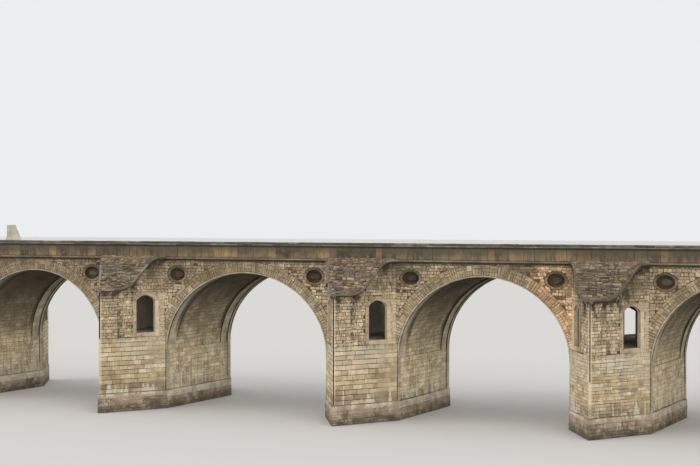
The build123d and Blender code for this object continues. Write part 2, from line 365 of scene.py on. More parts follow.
def lay_wall(
    book, place, left, right, levels, lengths, seed,
    cutters=(), joint=0.010, proud=(0.004, 0.009), split=0.0, rough=0.002, stain=None,
    bevel=0.009, tints=(0.0, 1.0), wave=0.0, bed=0.0, gaps=0.0, worn=0.0,
):
    """Lay courses between two ends. The levels are the courses' bed joints, lengths the stones' range.

    Split is the share of stones that are two thin ones, and gaps the share that is missing. Rough moves
    the corners, worn breaks them off, wave bends the courses, and bed widens the bed joints.
    """
    chance = random.Random(seed)
    least, most = proud
    for bottom, top in zip(levels, levels[1:]):
        marks = fitted(chance, left, right, *lengths)
        for start, end in zip(marks, marks[1:]):
            parts = [(bottom, top)]
            if chance.random() < split:
                cut = bottom + (top - bottom) * chance.uniform(0.4, 0.6)
                parts = [(bottom, cut), (cut, top)]
            for low, high in parts:
                foot, head = low + bed, high - bed
                outline = []
                for u, v in ((start, foot), (end, foot), (end, head), (start, head)):
                    v += wave * math.sin(2.3 * u + 1.9 * v + seed)
                    outline.append((u + chance.uniform(-rough, rough), v + chance.uniform(-rough, rough)))
                if worn:
                    outline = knock_corners(chance, outline, worn)
                height = chance.uniform(least, most)
                tint = chance.uniform(*tints)
                tilt = (chance.uniform(-1, 1) * least * 0.4, chance.uniform(-1, 1) * least * 0.4)
                for cutter in cutters:
                    outline = cutter(outline) if outline else outline
                if outline and chance.random() >= gaps:
                    # How much soot and painted shade the stone carries.
                    darkening = stain(*centre_of(outline)) if stain else 0.0
                    lay_stone(book, place, outline, height, joint, tint, darkening, bevel, tilt)


# %% Flat surfaces to lay stones on
def flat(origin, across, up, out):
    """A flat surface: u runs across it, v up it and h out of it."""
    origin, across, up, out = Vector(origin), Vector(across), Vector(up), Vector(out)

    def place(u, v, h):
        return origin + across * u + up * v + out * h

    return place


def long_plane(y, facing):
    """An upright surface along the bridge that faces the front (-1) or the back (1)."""
    return flat((0, y, 0), (1, 0, 0), (0, 0, 1), (0, facing, 0))


def cross_plane(x, facing):
    """An upright surface across the bridge that faces left (-1) or right (1)."""
    return flat((x, 0, 0), (0, 1, 0), (0, 0, 1), (facing, 0, 0))


def cutwater_face(pier, side, hand, inset=0.0):
    """The face of a cutwater, u from its nose to the wall. Side is -1 in front, hand is 1 at the right."""
    cos, sin = math.cos(FACE_ANGLE), math.sin(FACE_ANGLE)
    out = Vector((hand * sin, side * cos, 0))
    nose = Vector((pier_x[pier], side * (HALF_WIDTH + NOSE), 0)) + out * inset
    return flat(nose, (hand * cos, -side * sin, 0), (0, 0, 1), out)


# %% [markdown]
# ## Materials
# Limestone from one quarry still varies from stone to stone: cream, grey, ochre, a few nearly white. Each
# stone carries its own tint number, and a colour ramp turns it into one of those colours. Over that lie
# blotches, fine pores, rain streaks and soot, and painted shade under mouldings, in corners and in
# recesses. Pictures could give them, but would have to be unwrapped and would repeat. Noise at its real
# size, placed in space, runs on from stone to stone and keeps its place from every side. Bump adds the
# rough skin that is too fine to model.

# %% Numbers that run through nodes
def colour(red, green, blue):
    """A colour for a socket."""
    return (red, green, blue, 1.0)


def add_node(tree, kind, inputs=None, **settings):
    """Add a node, set its options, and fill or link its inputs."""
    made = tree.nodes.new(kind)
    for label, value in settings.items():
        setattr(made, label, value)
    for key, value in (inputs or {}).items():
        if isinstance(value, Wire):
            tree.links.new(value.socket, made.inputs[key])
        else:
            made.inputs[key].default_value = value
    return made


class Wire:
    """A number or colour that one node hands to the next. Sums with it become Math nodes."""

    def __init__(self, tree, socket):
        self.tree = tree
        self.socket = socket

    def maths(self, operation, other=0.0):
        """What a Math node makes of this number and another."""
        made = add_node(self.tree, "ShaderNodeMath", {0: self, 1: other}, operation=operation)
        return Wire(self.tree, made.outputs[0])

    def __add__(self, other):
        return self.maths("ADD", other)

    def __sub__(self, other):
        return self.maths("SUBTRACT", other)

    def __rsub__(self, other):
        made = add_node(self.tree, "ShaderNodeMath", {0: other, 1: self}, operation="SUBTRACT")
        return Wire(self.tree, made.outputs[0])

    def __mul__(self, other):
        return self.maths("MULTIPLY", other)

    def __abs__(self):
        return self.maths("ABSOLUTE")

    def above(self, level):
        """1 where the number is above a level, else 0."""
        return self.maths("GREATER_THAN", level)

    def below(self, level):
        """1 where the number is below a level, else 0."""
        return self.maths("LESS_THAN", level)

    def capped(self):
        """The same number, kept between 0 and 1 by its Math node."""
        self.socket.node.use_clamp = True
        return self

    def spread(self, low, high, start=0.0, end=1.0):
        """Turn the range from low to high into the range from start to end, smoothly."""
        inputs = {0: self, 1: low, 2: high, 3: start, 4: end}
        made = add_node(self.tree, "ShaderNodeMapRange", inputs, interpolation_type="SMOOTHSTEP")
        return Wire(self.tree, made.outputs[0])


# %% Paint, coat by coat
class Paint:
    """The colour of a material in the making. Each coat covers what is there by a share from 0 to 1."""

    def __init__(self, tree):
        self.tree = tree
        self.colour = None

    def wire(self, kind, inputs=None, output=0, **settings):
        """Add a node and take one of its outputs."""
        return Wire(self.tree, add_node(self.tree, kind, inputs, **settings).outputs[output])

    def number(self, label):
        """A number that the stones carry."""
        return self.wire("ShaderNodeAttribute", None, "Fac", attribute_name=label)

    def at(self, axis):
        """The place of a point along X, Y or Z, in metres."""
        where = self.wire("ShaderNodeTexCoord", None, "Object")
        return self.wire("ShaderNodeSeparateXYZ", {0: where}, axis)

    def facing(self, axis):
        """How much the surface faces along X, Y or Z, from -1 to 1."""
        normal = self.wire("ShaderNodeNewGeometry", None, "Normal")
        return self.wire("ShaderNodeSeparateXYZ", {0: normal}, axis)

    def noise(self, scale, shift=0.0, stretch=(1, 1, 1), detail=3.0):
        """Noise in metres: scale is how many blotches lie in one metre."""
        where = self.wire("ShaderNodeTexCoord", None, "Object")
        inputs = {0: where, "Location": (shift, shift * 0.7, shift * 0.3), "Scale": stretch}
        moved = self.wire("ShaderNodeMapping", inputs)
        inputs = {"Vector": moved, "Scale": scale, "Detail": detail, "Roughness": 0.55}
        return self.wire("ShaderNodeTexNoise", inputs)

    def streaks(self, low, high, shift=0.0):
        """Narrow rain marks that run down a wall."""
        return self.noise(1.0, shift, stretch=(9, 9, 0.7)).spread(low, high)

    def ramp(self, value, stops):
        """A colour ramp through stops of (place, colour)."""
        made = add_node(self.tree, "ShaderNodeValToRGB", {0: value})
        elements = made.color_ramp.elements
        while len(elements) < len(stops):
            elements.new(0.5)
        for element, (where, shown) in zip(elements, stops):
            element.position = where
            element.color = colour(*shown)
        return Wire(self.tree, made.outputs[0])

    def mixed(self, share, first, second, kind="MIX"):
        """Mix two colours by a share."""
        inputs = {0: share, 6: first, 7: second}
        return self.wire("ShaderNodeMix", inputs, 2, data_type="RGBA", blend_type=kind)

    def shaded(self, first, amount):
        """Multiply a colour by a number."""
        inputs = {0: first, "Scale": amount}
        return self.wire("ShaderNodeVectorMath", inputs, operation="SCALE")

    def coat(self, share, shown, kind="MIX"):
        """Cover what is there with a colour, by a share."""
        self.colour = self.mixed(share, self.colour, shown, kind)


# %% The recipe for weathered stone
# Soot black, also used for painted shade under mouldings, in corners, by steps and in recesses.
SOOT_AND_SHADE_BLACK = colour(0.035, 0.031, 0.024)
LICHEN = colour(0.075, 0.070, 0.048)
LIME = colour(0.66, 0.60, 0.50)
SMOKE = colour(0.085, 0.066, 0.042)
UMBER = colour(0.088, 0.066, 0.035)
PIT_BROWN = colour(0.075, 0.054, 0.032)


def weathered(name, stops, weather=None, blotch=0.22, pores=0.16, bump=0.5, holes=0.35):
    """A stone material: tints from stop to stop, blotches, pores, pits, and a function for its weather."""
    material = bpy.data.materials.new(name)
    material.use_nodes = True
    tree = material.node_tree
    shader = tree.nodes["Principled BSDF"]
    shader.inputs["Roughness"].default_value = 0.92
    shader.inputs["Specular IOR Level"].default_value = 0.2
    paint = Paint(tree)
    patches = paint.noise(3.0, 3.1).spread(0.3, 0.7, 1 - blotch, 1 + blotch)
    fine = paint.noise(38.0, 7.7, detail=4.0).spread(0.3, 0.7, 1 - pores, 1 + pores)
    paint.colour = paint.shaded(paint.ramp(paint.number("tint"), stops), patches * fine)
    pits = paint.noise(12.0, 17.0, detail=2.0).spread(0.57, 0.67)
    # More pits where a stone carries soot and painted shade.
    rough = (paint.number("stain") * 0.6 + holes).capped()
    paint.coat(pits * rough, PIT_BROWN)
    if weather:
        weather(paint)
    tree.links.new(paint.colour.socket, shader.inputs["Base Color"])
    grain = paint.noise(60.0, detail=5.0) + paint.noise(14.0) * 1.5
    skin = add_node(tree, "ShaderNodeBump", {"Strength": bump, "Distance": 0.006, "Height": grain})
    tree.links.new(skin.outputs[0], shader.inputs["Normal"])
    return material


def one_tone(name, tone, weather=None, **ways):
    """The same recipe with no tints, for earth and for the solids."""
    return weathered(name, [(0.0, tone), (1.0, tone)], weather, **ways)


# %% Weather of the walls
def pale_nose(paint):
    """A narrow paler strip along the edge of a cutwater."""
    edge = HALF_WIDTH + NOSE
    washed = abs(paint.at("Y")).spread(edge - 0.11, edge - 0.05, 0.0, 0.7)
    paint.coat(washed, colour(0.74, 0.635, 0.455))


def lost_faces(paint):
    """The haunch to the left of pier 4, where the stones have lost their faces and show warm inside."""
    off = abs(paint.at("X") - (pier_x[4] - 1.85))
    patchy = paint.noise(2.6, 95.0).spread(0.32, 0.55, 0.35, 1.0)
    paint.coat(off.spread(1.0, 0.40) * patchy, colour(1.60, 1.36, 1.20), "MULTIPLY")


def wall_weather_and_shade(paint):
    """Walls: the higher, the browner, pale in the panels, with a painted shadow under the string course,
    and blots of soot and painted shade as much as each stone carries.
    """
    pale_nose(paint)
    high = paint.at("Z").spread(3.85, 4.85, 0.0, 0.60)
    cloud = paint.noise(0.9, 11.0).spread(0.36, 0.64, 0.60, 1.3)
    paint.coat((high * cloud).capped(), UMBER)
    lost_faces(paint)
    paint.coat(paint.streaks(0.52, 0.75) * 0.30, LICHEN)
    out = abs(paint.at("Y"))
    washed = out.spread(HALF_WIDTH + 0.85, HALF_WIDTH + 0.55) * 0.45
    washed = washed * out.spread(HALF_WIDTH + 0.02, HALF_WIDTH + 0.05)
    paint.coat(washed * paint.at("Z").spread(EAVES, EAVES - 0.20), colour(0.66, 0.55, 0.39))
    # A painted shadow just under the string course.
    wavy = paint.at("Z") + paint.noise(5.0, 6.0) * 0.06
    paint.coat(wavy.spread(STRING - 0.07, STRING + 0.01, 0.0, 0.88), SOOT_AND_SHADE_BLACK)
    # Blots of soot and painted shade, as much as each stone carries.
    blots = paint.noise(3.2, 71.0).spread(0.38, 0.60, 0.30, 1.25)
    paint.coat((paint.number("stain") * blots).capped(), SOOT_AND_SHADE_BLACK)


# %% Weather of the ashlar
LIME_FOOT = 0.65  # the lime thins out above this height


def lime_cones(paint, shift):
    """White lime that spread out in cones at the foot of a wall, and ran in narrow lines above them."""
    height = paint.at("Z")
    above = height - LIME_FOOT
    peaks = paint.noise(1.0, shift, stretch=(2.6, 2.6, 0.0), detail=1.0)
    cones = (peaks - above * 0.24).spread(0.585, 0.605, 0.0, 0.85)
    lines = paint.noise(1.0, shift + 2.0, stretch=(14, 14, 0.5), detail=2.0)
    lines = (lines - above * 0.16).spread(0.585, 0.625, 0.0, 0.75)
    paint.coat(cones.maths("MAXIMUM", lines) * height.spread(0.50, 0.60), LIME)


def low_weather(paint):
    """Ashlar: pale grey stones under the ledge, brown damp ones at the foot, with lime over them."""
    height = paint.at("Z")
    pale_nose(paint)
    pale = height.spread(1.5, 2.1) * paint.noise(0.9, 25.0).spread(0.35, 0.6)
    paint.coat(pale * 0.45, colour(0.62, 0.585, 0.47))
    damp = height.spread(1.15, 0.85) * paint.noise(1.6, 21.0).spread(0.36, 0.56)
    paint.coat(damp * 0.62, colour(0.155, 0.112, 0.080))
    lime_cones(paint, 5.0)
    paint.coat(paint.streaks(0.55, 0.80, 2.0) * 0.25, LICHEN)
    green = height.spread(LEDGE - 0.13, LEDGE - 0.04) * paint.streaks(0.40, 0.60, 33.0)
    paint.coat(green * 0.45, LICHEN)


# %% Stone finishes
ASHLAR = [
    (0.0, (0.40, 0.300, 0.172)),
    (0.3, (0.52, 0.405, 0.248)),
    (0.65, (0.59, 0.475, 0.306)),
    (0.9, (0.64, 0.530, 0.362)),
    (1.0, (0.67, 0.605, 0.475)),
]
SMALL = [
    (0.0, (0.39, 0.295, 0.178)),
    (0.35, (0.49, 0.385, 0.247)),
    (0.75, (0.57, 0.460, 0.308)),
    (1.0, (0.66, 0.565, 0.410)),
]
ashlar = weathered("weathered ashlar", ASHLAR, low_weather)
small_stone = weathered("small wall stone", SMALL, wall_weather_and_shade, blotch=0.25, holes=0.75)
print("nodes in the small wall stone:", len(small_stone.node_tree.nodes))

# %% [markdown]
# ## The curved roofs
# Each cutwater ends in a stone roof that sweeps up to the string course in a long S. Seen from the side it
# is flat at the nose, hollow, then rounded. A curve object could be bent to it by eye. But the two arcs of
# the S share their centres with the lines above and below, so one function draws it at any lift. Its
# moulded edge throws the dark line that is so plain on the bridge.

# %% The S line
LOW_RADIUS, HIGH_RADIUS, SLOPE = 0.80, 0.45, math.radians(50)
LOW_START = -0.75 * NOSE
HIGH_END = LOW_START + LOW_RADIUS * math.tan(SLOPE / 2)
HIGH_END += (STRING - EAVES) / math.tan(SLOPE) + HIGH_RADIUS * math.tan(SLOPE / 2)
THICK = 0.09  # how thick a roof slab is
S_STEPS = 10  # points on each arc
S_END = -0.02  # the line ends a little in front of the wall


def s_line(lift, start=-NOSE - 0.12):
    """Points along the S: the distance behind the wall plane (less than 0 in front), and the height."""
    points = [(start, EAVES + lift), ((start + LOW_START) / 2, EAVES + lift)]
    low, high = LOW_RADIUS - lift, HIGH_RADIUS + lift
    for step in range(S_STEPS + 1):
        angle = SLOPE * step / S_STEPS
        y = LOW_START + low * math.sin(angle)
        points.append((y, EAVES + LOW_RADIUS - low * math.cos(angle)))
    for step in range(S_STEPS + 1):
        angle = SLOPE * (1 - step / S_STEPS)
        y = HIGH_END - high * math.sin(angle)
        points.append((y, STRING - HIGH_RADIUS + high * math.cos(angle)))
    points.append((S_END, STRING + lift))
    return points


def on_face(inset):
    """The S as drawn on a cutwater face: u from the nose, v up."""
    sin, cos = math.sin(FACE_ANGLE), math.cos(FACE_ANGLE)
    return [((y + NOSE + inset * cos) / sin, z) for y, z in s_line(0.0)]


roof_edge = on_face(0.0)
panel_edge = on_face(PANEL)
print("the S rises from", EAVES, "to", round(STRING, 3), "in", len(roof_edge), "points")


# %% Lengths along a line
def lengths_along(points):
    """The length along a line at each of its points."""
    marks = [0.0]
    for a, b in zip(points, points[1:]):
        marks.append(marks[-1] + math.hypot(b[0] - a[0], b[1] - a[1]))
    return marks


def find_mark(marks, length):
    """The number of the mark before a length, and the share of the way to the next one."""
    index = min(max(bisect.bisect_right(marks, length) - 1, 0), len(marks) - 2)
    return index, (length - marks[index]) / (marks[index + 1] - marks[index])


def at_length(points):
    """A function that gives the point and the direction at a length along a line."""
    marks = lengths_along(points)

    def find(length):
        index, share = find_mark(marks, length)
        (au, av), (bu, bv) = points[index], points[index + 1]
        whole = marks[index + 1] - marks[index]
        return (au + share * (bu - au), av + share * (bv - av)), ((bu - au) / whole, (bv - av) / whole)

    return find, marks[-1]


print("the S is", round(at_length(roof_edge)[1], 2), "long on a face")


# %% Bars with any section
BAR_JOINT = 0.003  # half the joint between two bars


def lay_bar(book, sections, tint):
    """A bar through sections of the same number of points, closed at both ends."""
    count = len(sections[0])
    points = [Vector(point) for section in sections for point in section]
    last = len(points) - count
    faces = []
    for start in range(0, last, count):
        faces += ribbon(start, count)
    faces.append(tuple(range(count - 1, -1, -1)))
    faces.append(tuple(range(last, last + count)))
    volume = 0.0
    for face in faces:
        for second, third in zip(face[1:], face[2:]):
            volume += points[face[0]].dot(points[second].cross(points[third]))
    if volume < 0:
        faces = [face[::-1] for face in faces]
    book.add(points, faces, tint)


# %% Roof moulding
MOULDING = [
    (-0.075, 0.000), (0.004, 0.000), (0.008, 0.012), (0.020, 0.024), (0.040, 0.032),
    (0.054, 0.036), (0.057, 0.042), (0.057, 0.084), (0.048, 0.094), (-0.075, 0.094),
]
MOULDING_LIGHT = {1: 0.7, 2: 1.0, 3: 0.8, 4: 0.15, 5: 0.6}  # how clean it is, pier by pier


def lay_roof_moulding(book, pier, side, hand):
    """Moulding stones along the S on one cutwater face."""
    chance = random.Random(pier * 17 + side * 3 + hand)
    place = cutwater_face(pier, side, hand)
    find, whole = at_length(roof_edge)
    marks = fitted(chance, 0.0, whole, 0.34, 0.52)
    for start, end in zip(marks, marks[1:]):
        steps = max(2, round((end - start) / 0.08))
        worn = chance.uniform(-0.005, 0.002)
        sections = []
        for step in range(steps + 1):
            (u, v), (du, dv) = find(start + BAR_JOINT + (end - start - 2 * BAR_JOINT) * step / steps)
            sections.append([place(u - dv * b, v + du * b, a + worn) for a, b in MOULDING])
        lay_bar(book, sections, chance.random() * MOULDING_LIGHT[pier])


# %% Roof rubble
ROOF_SLANT = HALF_PIER / NOSE
ROOF_TIP = -NOSE - 0.05 / math.cos(FACE_ANGLE)
ROOF_MARGIN = 0.045  # the rubble stops this far from the edge of the roof
RUBBLE = {"joint": 0.024, "proud": (0.002, 0.050), "split": 0.3, "rough": 0.016, "bevel": 0.018}
RUBBLE.update(wave=0.034, gaps=0.04, worn=0.035, bed=0.004)


def roof_surface(pier, side):
    """The top of a roof: u along the bridge, v up the S from the nose."""
    find, whole = at_length(s_line(THICK, start=ROOF_TIP))

    def place(u, v, h):
        (y, z), (dy, dz) = find(v)
        return Vector((pier_x[pier] + u, side * (HALF_WIDTH - y + dz * h), z + dy * h))

    return place, find, whole


def roof_cutter(find, hand):
    """A cutter for one slanting edge of a roof."""

    def cut(outline):
        bottom, top = limits(outline)[2:]
        low, high = ((find(v)[0][0] - ROOF_TIP) * ROOF_SLANT - ROOF_MARGIN for v in (bottom, top))
        du, dv = high - low, top - bottom
        length = math.hypot(du, dv)
        return clip(outline, (hand * low, bottom), (-hand * dv / length, du / length))

    return cut


def lay_rubble(book, pier, side):
    """Rubble over the top of one roof."""
    place, find, whole = roof_surface(pier, side)
    chance = random.Random(pier * 31 + side)
    cutters = [roof_cutter(find, hand) for hand in HANDS]
    levels = fitted(chance, 0.10, whole - 0.03, 0.085, 0.150)
    wide = HALF_PIER + 0.05
    seed = pier * 57 + side
    lay_wall(book, place, -wide, wide, levels, (0.11, 0.32), seed, cutters=cutters, **RUBBLE)


def roof_bed(book, pier, side):
    """The slab of mortar and small stones under the rubble, in the darkest tint as painted shadow between
    the rubble and the moulding.
    """
    sections = []
    for low, high in zip(s_line(0.0), s_line(THICK - 0.004)):
        section = []
        for y, z in (low, high):
            half = max(0.0, (y + NOSE + 0.01) * ROOF_SLANT) + 0.004
            ends = (-half, half) if not section else (half, -half)
            section += [(pier_x[pier] + u, side * (HALF_WIDTH - y), z) for u in ends]
        sections.append(section)
    # The darkest tint, as painted shadow between the rubble and the moulding.
    lay_bar(book, sections[1:], 0.0)


# %% Finishes of the roofs and mouldings
ROOF = [
    (0.0, (0.085, 0.062, 0.041)),
    (0.3, (0.152, 0.113, 0.075)),
    (0.6, (0.194, 0.150, 0.102)),
    (0.85, (0.240, 0.184, 0.122)),
    (1.0, (0.316, 0.257, 0.184)),
]
DRESSED = [
    (0.0, (0.130, 0.107, 0.076)),
    (0.5, (0.195, 0.168, 0.124)),
    (1.0, (0.285, 0.250, 0.190)),
]


def edge_weather_and_shade(paint):
    """Mouldings: clean where the rain washes them from above, and black on the faces that turn downwards,
    which is painted shade with dirt.
    """
    # Painted shade with dirt on the faces that turn downwards.
    underside_shade = paint.facing("Z").spread(0.06, -0.35)
    crust = paint.noise(2.2, 9.0).spread(0.35, 0.6, 0.75, 1.0)
    paint.coat(underside_shade * crust, SOOT_AND_SHADE_BLACK)


def roof_weather(paint):
    """Rubble: patches of rusty earth and of grey lichen, and small pale spots."""
    earth = paint.noise(1.4, 41.0).spread(0.54, 0.66, 0.0, 0.5)
    paint.coat(earth, colour(0.24, 0.150, 0.070))
    grey = paint.noise(2.3, 51.0).spread(0.46, 0.60, 0.0, 0.45)
    paint.coat(grey, colour(0.178, 0.152, 0.124))
    spots = paint.noise(9.0, 56.0, detail=2.0).spread(0.62, 0.68, 0.0, 0.52)
    paint.coat(spots, colour(0.42, 0.390, 0.340))


roof_stone = weathered("roof rubble", ROOF, roof_weather, blotch=0.3, pores=0.22, bump=0.7)
moulding_stone = weathered("washed moulding", DRESSED, edge_weather_and_shade)


# %% Lay the roofs
def lay_roofs(side, rubble, mouldings):
    """The roofs of one side of the bridge."""
    for pier in PIERS:
        roof_bed(rubble, pier, side)
        lay_rubble(rubble, pier, side)
        for hand in HANDS:
            lay_roof_moulding(mouldings, pier, side, hand)


dress(
    lay_roofs,
    ("roof_rubble", "roof_stone", roof_stone, "cutwater_roofs"),
    ("roof_mouldings", "roof_stone", moulding_stone),
)

# %% [markdown]
# ## Cutwaters
# A cutwater is the pointed body at each end of a pier. Up to the ledge it is built of squared ashlar in
# long low courses. Above the ledge the faces are set back between the nose strip and the wall, and the
# stones are smaller. Pier 4 has been patched with smaller stones from the foot up. Each face could have
# courses of its own, but the mason's line ran round the nose, so both faces draw the same levels.

# %% The outline of a window
WEDGES = 12  # stones round a window's arch


def window_points(grow, bottom):
    """The outline of a window, widened all round, drawn anticlockwise on a cutwater face."""
    half, crown = WINDOW_HALF + grow, WINDOW_TOP + grow
    rise = crown - WINDOW_SPRING
    radius = (half * half + rise * rise) / (2 * rise)
    reach = math.asin(min(1.0, half / radius))
    points = [(WINDOW_MIDDLE - half, bottom), (WINDOW_MIDDLE + half, bottom)]
    for step in range(WEDGES + 1):
        angle = reach * (1 - 2 * step / WEDGES)
        v = crown - radius + radius * math.cos(angle)
        points.append((WINDOW_MIDDLE + radius * math.sin(angle), v))
    return points


print("a window is", 2 * WINDOW_HALF, "wide, and its outline has", len(window_points(0, 0)), "points")

# %% Cutwater stones
NOSE_JOINT = {1: LEDGE, 2: LEDGE, 3: FOOTING_TOP, 4: 1.75, 5: FOOTING_TOP}  # where the joint starts
NOSE_GAP = 0.050
PAST_NOSE = -0.006  # where the stones of a face start, so that both faces meet
WALL_GAP = 0.026
# How fast the soot and painted shade below a roof thin out, pier by pier.
SOOT_AND_SHADE_FADE = {1: 2.2, 2: 2.2, 3: 2.0, 4: 1.3, 5: 2.0}  # how fast the soot below a roof thins out
PATCHED = 4
EVEN = {"bed": 0.004, "rough": 0.004}
PATCHY = {"joint": 0.011, "rough": 0.005, "worn": 0.016, "wave": 0.006, "split": 0.08}
SMALL_WAYS = {"joint": 0.013, "rough": 0.005, "worn": 0.017, "wave": 0.006}


def roof_soot_and_shade(pier):
    """A function that gives the share of soot and painted shade below the S moulding, and of painted shadow
    in the corner of the panel by its step.
    """

    def share(u, v):
        # Soot and painted shade that thin out below the S, and painted shadow in the panel's corner.
        depth = min(math.hypot(u - a, v - b) for a, b in roof_edge)
        corner = u - STRIP if u > STRIP else 1.0
        return min(0.85, max(0.0, 1.0 - depth * SOOT_AND_SHADE_FADE[pier], 0.85 - corner * 4.5))

    return share


def beside_nose(pier, hand):
    """A cutter that leaves an upright joint open beside the nose, above the height where it starts."""

    def cut(outline):
        if hand < 0 or centre_of(outline)[1] < NOSE_JOINT[pier]:
            return outline
        return clip(outline, (NOSE_GAP, 0), (1, 0))

    return cut


def lay_joints(book, pier, side, hand):
    """Dark earth in the two upright joints of a face: beside the nose, and where it meets the wall."""
    face = cutwater_face(pier, side, hand)
    strips = [(FACE_LENGTH - 0.024, FACE_LENGTH - 0.002, FOOTING_TOP + 0.01, LEDGE - 0.01)]
    if hand > 0:
        strips.append((0.001, NOSE_GAP - 0.002, NOSE_JOINT[pier] + 0.01, EAVES - 0.01))
    for left, right, low, high in strips:
        corners = ((left, SUNK), (right, SUNK), (right, 0.0015), (left, 0.0015))
        lay_bar(book, [[face(u, v, h) for u, h in corners] for v in (low, high)], 0.5)


def lay_cutwater(low_book, high_book, pier, side, hand):
    """Ashlar below the ledge, and small stones on the nose strip and the panel above it."""
    chance = random.Random(pier * 7 + (side > 0))
    seed = pier * 1000 + (side + 1) * 100 + (hand + 1) * 10
    heights, lengths, panel_lengths, ways = (0.145, 0.180), (0.28, 0.62), (0.09, 0.22), EVEN
    if pier == PATCHED:
        heights, lengths, panel_lengths, ways = (0.090, 0.130), (0.16, 0.46), (0.12, 0.34), PATCHY
    nose = beside_nose(pier, hand)
    face = cutwater_face(pier, side, hand)
    levels = fitted(chance, FOOTING_TOP, LEDGE, *heights)
    end = FACE_LENGTH - WALL_GAP
    lay_wall(low_book, face, PAST_NOSE, end, levels, lengths, seed, cutters=[nose], **ways)
    fine = fitted(chance, LEDGE, STRING, 0.085, 0.13)
    # The small stones carry soot and painted shade below the S and in the panel's corner.
    ways = {"cutters": [right_of(roof_edge), nose], "proud": (0.003, 0.009), "stain": roof_soot_and_shade(pier)}
    lay_wall(high_book, face, PAST_NOSE, STRIP, fine, (0.12, 0.28), seed + 1, **ways, **SMALL_WAYS)
    panel = cutwater_face(pier, side, hand, PANEL)
    window = outside(window_points(FRAME_WIDTH - 0.012, LEDGE - 0.1))
    ways.update(cutters=[right_of(panel_edge), window], proud=(0.003, 0.012), split=0.10)
    left, right = STRIP + 0.004, PANEL_END + 0.004
    lay_wall(high_book, panel, left, right, fine, panel_lengths, seed + 2, **ways, **SMALL_WAYS)


# %% Lay the cutwaters
joint_earth = one_tone("dark earth in joints", (0.022, 0.015, 0.010))


def lay_cutwaters(side, joints, low_book, high_book):
    """The cutwaters of one side of the bridge."""
    for pier in PIERS:
        for hand in HANDS:
            lay_cutwater(low_book, high_book, pier, side, hand)
            lay_joints(joints, pier, side, hand)


dress(
    lay_cutwaters,
    ("upright_joints", "cutwater_stone", joint_earth),
    ("cutwater_ashlar", "cutwater_stone", ashlar),
    ("cutwater_small_stones", "cutwater_stone", small_stone),
)

# %% [markdown]
# ## Window frames
# The openings into the hollow cutwaters have dressed frames: tall jamb stones, wedges round the flat arch,
# and a sill. They are smoother and a little lighter than the wall. A frame could be one extruded outline,
# but its joints belong to it, so each jamb is a wall that is one stone long, and each wedge is drawn
# between the inner and the outer curve.

# %% Window frame stones
FRAME_WAYS = {"joint": 0.010, "proud": (0.002, 0.006), "rough": 0.003}
REVEAL_WAYS = {"joint": 0.010, "proud": (0.001, 0.004), "tints": (0.3, 0.8)}
REVEAL = 0.12  # how far the frame reaches in


def lay_frame(book, pier, side, hand):
    """Jambs, sill and head wedges of one window."""
    chance = random.Random(pier * 91 + side * 5 + hand)
    place = cutwater_face(pier, side, hand, PANEL + 0.015)
    for edge in HANDS:
        inner = WINDOW_MIDDLE + edge * WINDOW_HALF
        ends = sorted((inner, inner + edge * FRAME_WIDTH))
        levels = fitted(chance, LEDGE, WINDOW_SPRING, 0.13, 0.30)
        tints = (0.75, 1.0) if edge > 0 else (0.25, 0.5)
        lay_wall(book, place, *ends, levels, WHOLE, chance.random(), tints=tints, **FRAME_WAYS)
    ends = (WINDOW_MIDDLE - WINDOW_HALF, WINDOW_MIDDLE + WINDOW_HALF)
    levels = [LEDGE, WINDOW_SILL]
    seed = chance.random()
    lay_wall(book, place, *ends, levels, (0.25, 0.45), seed, tints=(0.3, 0.7), **FRAME_WAYS)
    inner, outer = window_points(0.0, WINDOW_SILL)[2:], window_points(FRAME_WIDTH, LEDGE)[2:]
    for index in range(WEDGES):
        outline = [outer[index], outer[index + 1], inner[index + 1], inner[index]]
        proud = chance.uniform(0.002, 0.006)
        lay_stone(book, place, outline, proud, 0.012, chance.uniform(0.0, 0.25))


def lay_reveal(book, pier, side, hand):
    """The stones of the wall's thickness, at both sides of one window."""
    face = cutwater_face(pier, side, hand)
    for edge in HANDS:
        inner = WINDOW_MIDDLE + edge * WINDOW_HALF
        inward = face(inner, 0, PANEL - 1) - face(inner, 0, PANEL)
        normal = face(inner - edge, 0, 0) - face(inner, 0, 0)
        place = flat(face(inner, 0, PANEL + 0.012), inward, (0, 0, 1), normal)
        seed = pier * 93 + side * 7 + hand * 3 + edge
        levels = fitted(random.Random(seed), WINDOW_SILL, WINDOW_SPRING, 0.13, 0.24)
        lay_wall(book, place, 0.0, REVEAL, levels, WHOLE, seed, **REVEAL_WAYS)


# %% Lay the window frames
FRAME = [
    (0.0, (0.36, 0.255, 0.175)),
    (0.25, (0.43, 0.325, 0.220)),
    (0.5, (0.50, 0.405, 0.270)),
    (1.0, (0.70, 0.600, 0.430)),
]
frame_stone = weathered("window frame stone", FRAME, wall_weather_and_shade, holes=0.5)


def lay_windows(side, book):
    """The window frames of one side of the bridge."""
    for pier in PIERS:
        for hand in HANDS:
            lay_frame(book, pier, side, hand)
            lay_reveal(book, pier, side, hand)


dress(lay_windows, ("window_frame_stones", "dressed_stone", frame_stone))

# %% [markdown]
# ## Arches
# An arch stands by its wedge stones. On the face they form a ring of thin stones, set on edge, whose joints
# all point to the middle, with larger stones along most of its outer half. The ring hangs a little below
# the barrel, and its underside shows as a light lip. Stones could be copied round at equal angles, but on
# half an ellipse they would come out unequal. A table of lengths along it spaces them evenly.

# %% Surfaces of an arch
ARCH_STEPS = 240


def arc(middle, reach, turn, steps):
    """Points on an ellipse about a middle, over a turn from its right end."""
    points = []
    for step in range(steps + 1):
        angle = turn * step / steps
        points.append((middle[0] + reach[0] * math.cos(angle), middle[1] + reach[1] * math.sin(angle)))
    return points


